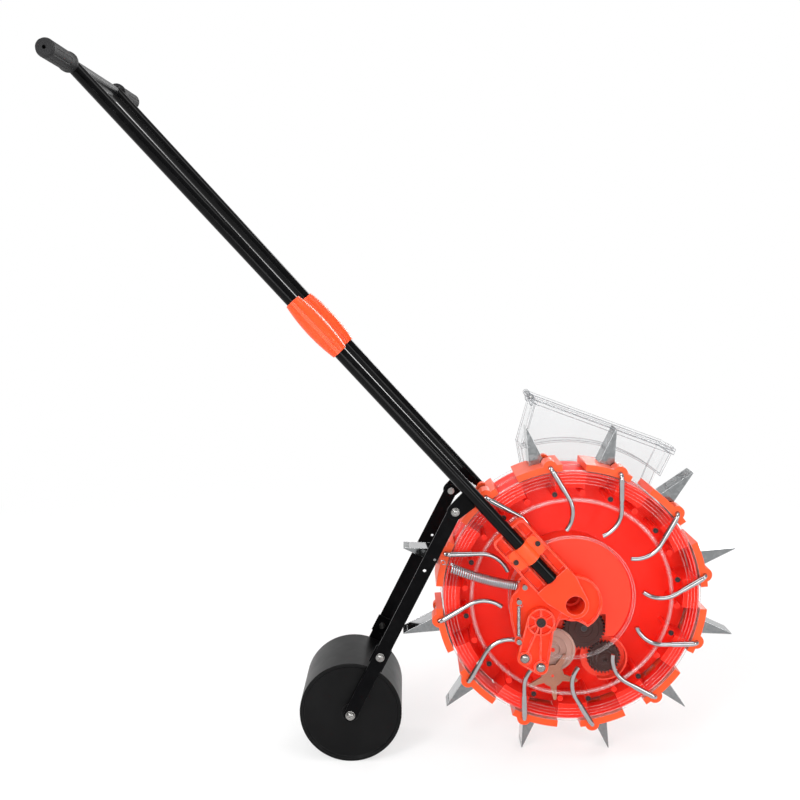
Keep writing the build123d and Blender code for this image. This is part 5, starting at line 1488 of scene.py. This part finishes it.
@dataclass
class Studio:
    """White floor, soft boxes and the camera."""

    lens: float = 45.0
    sensor: float = 36.0
    clip: tuple[float, float] = (0.01, 100.0)
    camera_place: Triple = (-291.3, -1750.8, 563.2)  # millimetres from the axle
    pitch: float = 7.2205
    yaw: float = 0.3012
    floor_colour: Colour = (0.94, 0.94, 0.94)
    floor_size: float = 60.0
    floor_z: float = -0.0005
    back_y: float = 7.0
    wall_height: float = 5.0
    sweep_r: float = 2.2
    sweep_steps: int = 12
    room: float = 0.01
    horizon: Colour = (0.16, 0.16, 0.16)
    horizon_end: float = 0.05
    zenith: Colour = (0.50, 0.50, 0.50)
    zenith_start: float = 0.9
    mirrored: float = 0.06

    def build(self) -> None:
        """Sets up the floor, the lights and the camera."""
        self._floor()
        self._world()
        for box in SOFT_BOXES:
            box.build()
        self._camera()

    def _floor(self) -> None:
        """Lays a wide floor with a rounded sweep at the back."""
        Bench.clear()
        bpy.ops.mesh.primitive_plane_add(
            size=self.floor_size, location=(0, self.back_y - self.floor_size / 2, self.floor_z)
        )
        floor = Bench.name("floor")
        Bench.settle(floor)
        back = self.back_y - self.room
        with Bench.editing(floor):
            Bench.pick(floor, Pick.EDGES, lambda p: p.y > back)
            bpy.ops.mesh.extrude_region_move(TRANSFORM_OT_translate={"value": (0, 0, self.wall_height)})
            Bench.pick(floor, Pick.EDGES, lambda p: p.y > back and abs(p.z) < self.room)
            bpy.ops.mesh.bevel(offset=self.sweep_r, segments=self.sweep_steps, profile=0.5, affect="EDGES")
        Bench.smooth(floor, ROUND_SHADING)
        floor.data.materials.append(Backdrop(self.floor_colour).build("floor_white"))

    def _world(self) -> None:
        """Even surroundings that are paler overhead, and white where they are looked at."""
        world = bpy.data.worlds.new("studio")
        bpy.context.scene.world = world
        graph = Graph("studio", world)
        way = graph.wire("ShaderNodeTexCoord", "Generated")
        height = graph.wire("ShaderNodeSeparateXYZ", "Z", None, {0: way})
        overhead = graph.contrast(height, self.horizon_end, self.zenith_start)
        grey = graph.mix(overhead, self.horizon, self.zenith)
        colour = graph.mix(graph.seen(self.mirrored), grey, WHITE)
        sky = graph.wire("ShaderNodeBackground", 0, None, {"Color": colour})
        graph.node("ShaderNodeOutputWorld", None, {"Surface": sky})
        bpy.context.scene.view_settings.view_transform = "Standard"

    def _camera(self) -> None:
        """Puts the camera where the picture was taken."""
        Bench.clear()
        bpy.ops.object.camera_add(location=at(*self.camera_place))
        camera = bpy.context.object
        camera.data.lens = self.lens
        camera.data.sensor_width = self.sensor
        camera.data.clip_start, camera.data.clip_end = self.clip
        camera.rotation_euler = (math.radians(90 - self.pitch), 0.0, math.radians(self.yaw))
        bpy.context.scene.camera = camera


def springs() -> Iterator[TensionSpring]:
    """The two tension springs, from their anchors on the bracket to the moving ends.

    Yields:
        Each spring.
    """
    yield TensionSpring(
        "press_arm_coil",
        node="arm_spring",
        body="press_frame",
        start=at(-86.0, -85.0, 29.0),
        end=at(-240.6, -85.0, 75.4),
        coil_r=7.6 * MM,
        wire_r=1.55 * MM,
        turns=30,
        leads=(13.0 * MM, 30.0 * MM),
        hook_r=3.4 * MM,
        sag=8.0 * MM,
    )
    yield TensionSpring(
        "striker_coil",
        node="striker_spring",
        body="striker",
        start=at(-96.0, -91.0, 5.0),
        end=at(-95.0, -91.0, -66.0),
        coil_r=2.8 * MM,
        wire_r=0.75 * MM,
        turns=28,
        leads=(9.0 * MM, 9.0 * MM),
        hook_r=2.9 * MM,
        sag=0.0,
    )


def press_bolts() -> tuple[Bolt, ...]:
    """Bolts of the roller's axle, of the brace and of the arms' pivot.

    Returns:
        The bolts.
    """
    pivot = joint_place("press_arm_pivot")
    roller = joint_place("press_roller_spin")
    brace = roller + (pivot - roller).normalized() * BRACE_FROM_ROLLER
    return (
        Bolt(
            "axle", "press_frame", roller, washer_y=84.0, head_y=89.0, hole_r=6.9, washer_r=8.4, dome_r=6.2
        ),
        Bolt(
            "brace", "press_frame", brace, washer_y=84.0, head_y=88.0, hole_r=6.3, washer_r=7.6, dome_r=5.6
        ),
        Bolt(
            "pivot", "frame", pivot, washer_y=90.0, head_y=94.0, hole_r=6.3, washer_r=7.4, dome_r=5.6
        ),
    )


def bolt_heads(bolts: tuple[Bolt, ...]) -> list[Head]:
    """Heads of the press wheel's bolts and of the striker's two feet.

    Args:
        bolts: The press wheel's bolts.

    Returns:
        The heads.
    """
    heads = []
    for side in Side:
        for bolt in bolts:
            seat = bolt.seat(side, bolt.head_y)
            heads.append(Head(f"{side.label}_{bolt.label}_dome", bolt.body, seat, bolt.dome_r * MM, side))
    for follower in ("rear", "front"):
        foot = joint_place(f"{follower}_follower_spin")
        seat = Vector((foot.x, AXLE.y + STRIKER_HEAD_Y, foot.z))
        heads.append(Head(f"{follower}_striker_dome", "striker", seat, STRIKER_DOME_R, Side.NEAR))
    return heads


def face_rings() -> Iterator[FaceRings]:
    """Rings on the clear cover, on the idler disc and on the two gears.

    Yields:
        The rings of each face.
    """
    yield FaceRings(
        "cover_ring",
        "drum",
        "clear_plastic",
        at(0, -56.0, 0),
        rings=((175.0, 1.3), (204.0, 0.45), (209.5, 0.4), (215.0, 0.45), (220.5, 0.5)),
        edge=True,
    )
    for node, body, slot, shares in (
        ("idler_disc", "idler_disc", "disc_beige", ((0.92, 1.6), (0.62, 0.8), (0.34, 1.4))),
        ("metering_gear", "metering", "gear_brown", ((0.72, 1.2), (0.42, 1.2), (0.22, 1.0))),
        ("hand_gear", "hand_gear", "gear_brown", ((0.70, 1.0), (0.34, 1.0))),
    ):
        low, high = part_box(node)
        centre = Vector(((low[0] + high[0]) / 2, low[1], (low[2] + high[2]) / 2))
        radius = (high[0] - low[0]) / 2 / MM
        rings = tuple((share * radius, bead) for share, bead in shares)
        yield FaceRings(f"{node}_ring", body, slot, centre, rings, segments=64)


def clear_edges() -> Iterator[EdgeBeads]:
    """The seen edges of every clear moulding.

    Yields:
        The edges of each moulding.
    """
    for node in ("near_cover", "near_rim", "far_cover"):
        yield EdgeBeads(node, "drum", "clear_plastic", radius=0.35 * MM)
    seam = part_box("hopper_front")[1][1]
    for node in ("hopper_front", "hopper_back"):
        yield EdgeBeads(node, "frame", "hopper_clear", radius=0.6 * MM, seam_y=seam)
    yield EdgeBeads("hopper_lid", "hopper_lid", "hopper_clear", radius=0.6 * MM)


def main() -> None:
    """Builds the looks in order and reports each piece."""
    logging.basicConfig(level=logging.INFO, format="%(name)s: %(message)s")
    palette = Palette()
    LOG.info("%d nodes dressed", palette.dress_frame())
    bolts = press_bolts()
    trims: tuple[Trim, ...] = (
        *springs(),
        WasherSet(bolts),
        BoltDomes(bolt_heads(bolts)),
        AxleBush(),
        HandleWelds(),
        PocketLiners(),
        *face_rings(),
        *clear_edges(),
    )
    for trim in trims:
        for piece in trim.build(palette):
            LOG.info("made %s", piece.name)
    Studio().build()


if __name__ == "__main__":
    main()
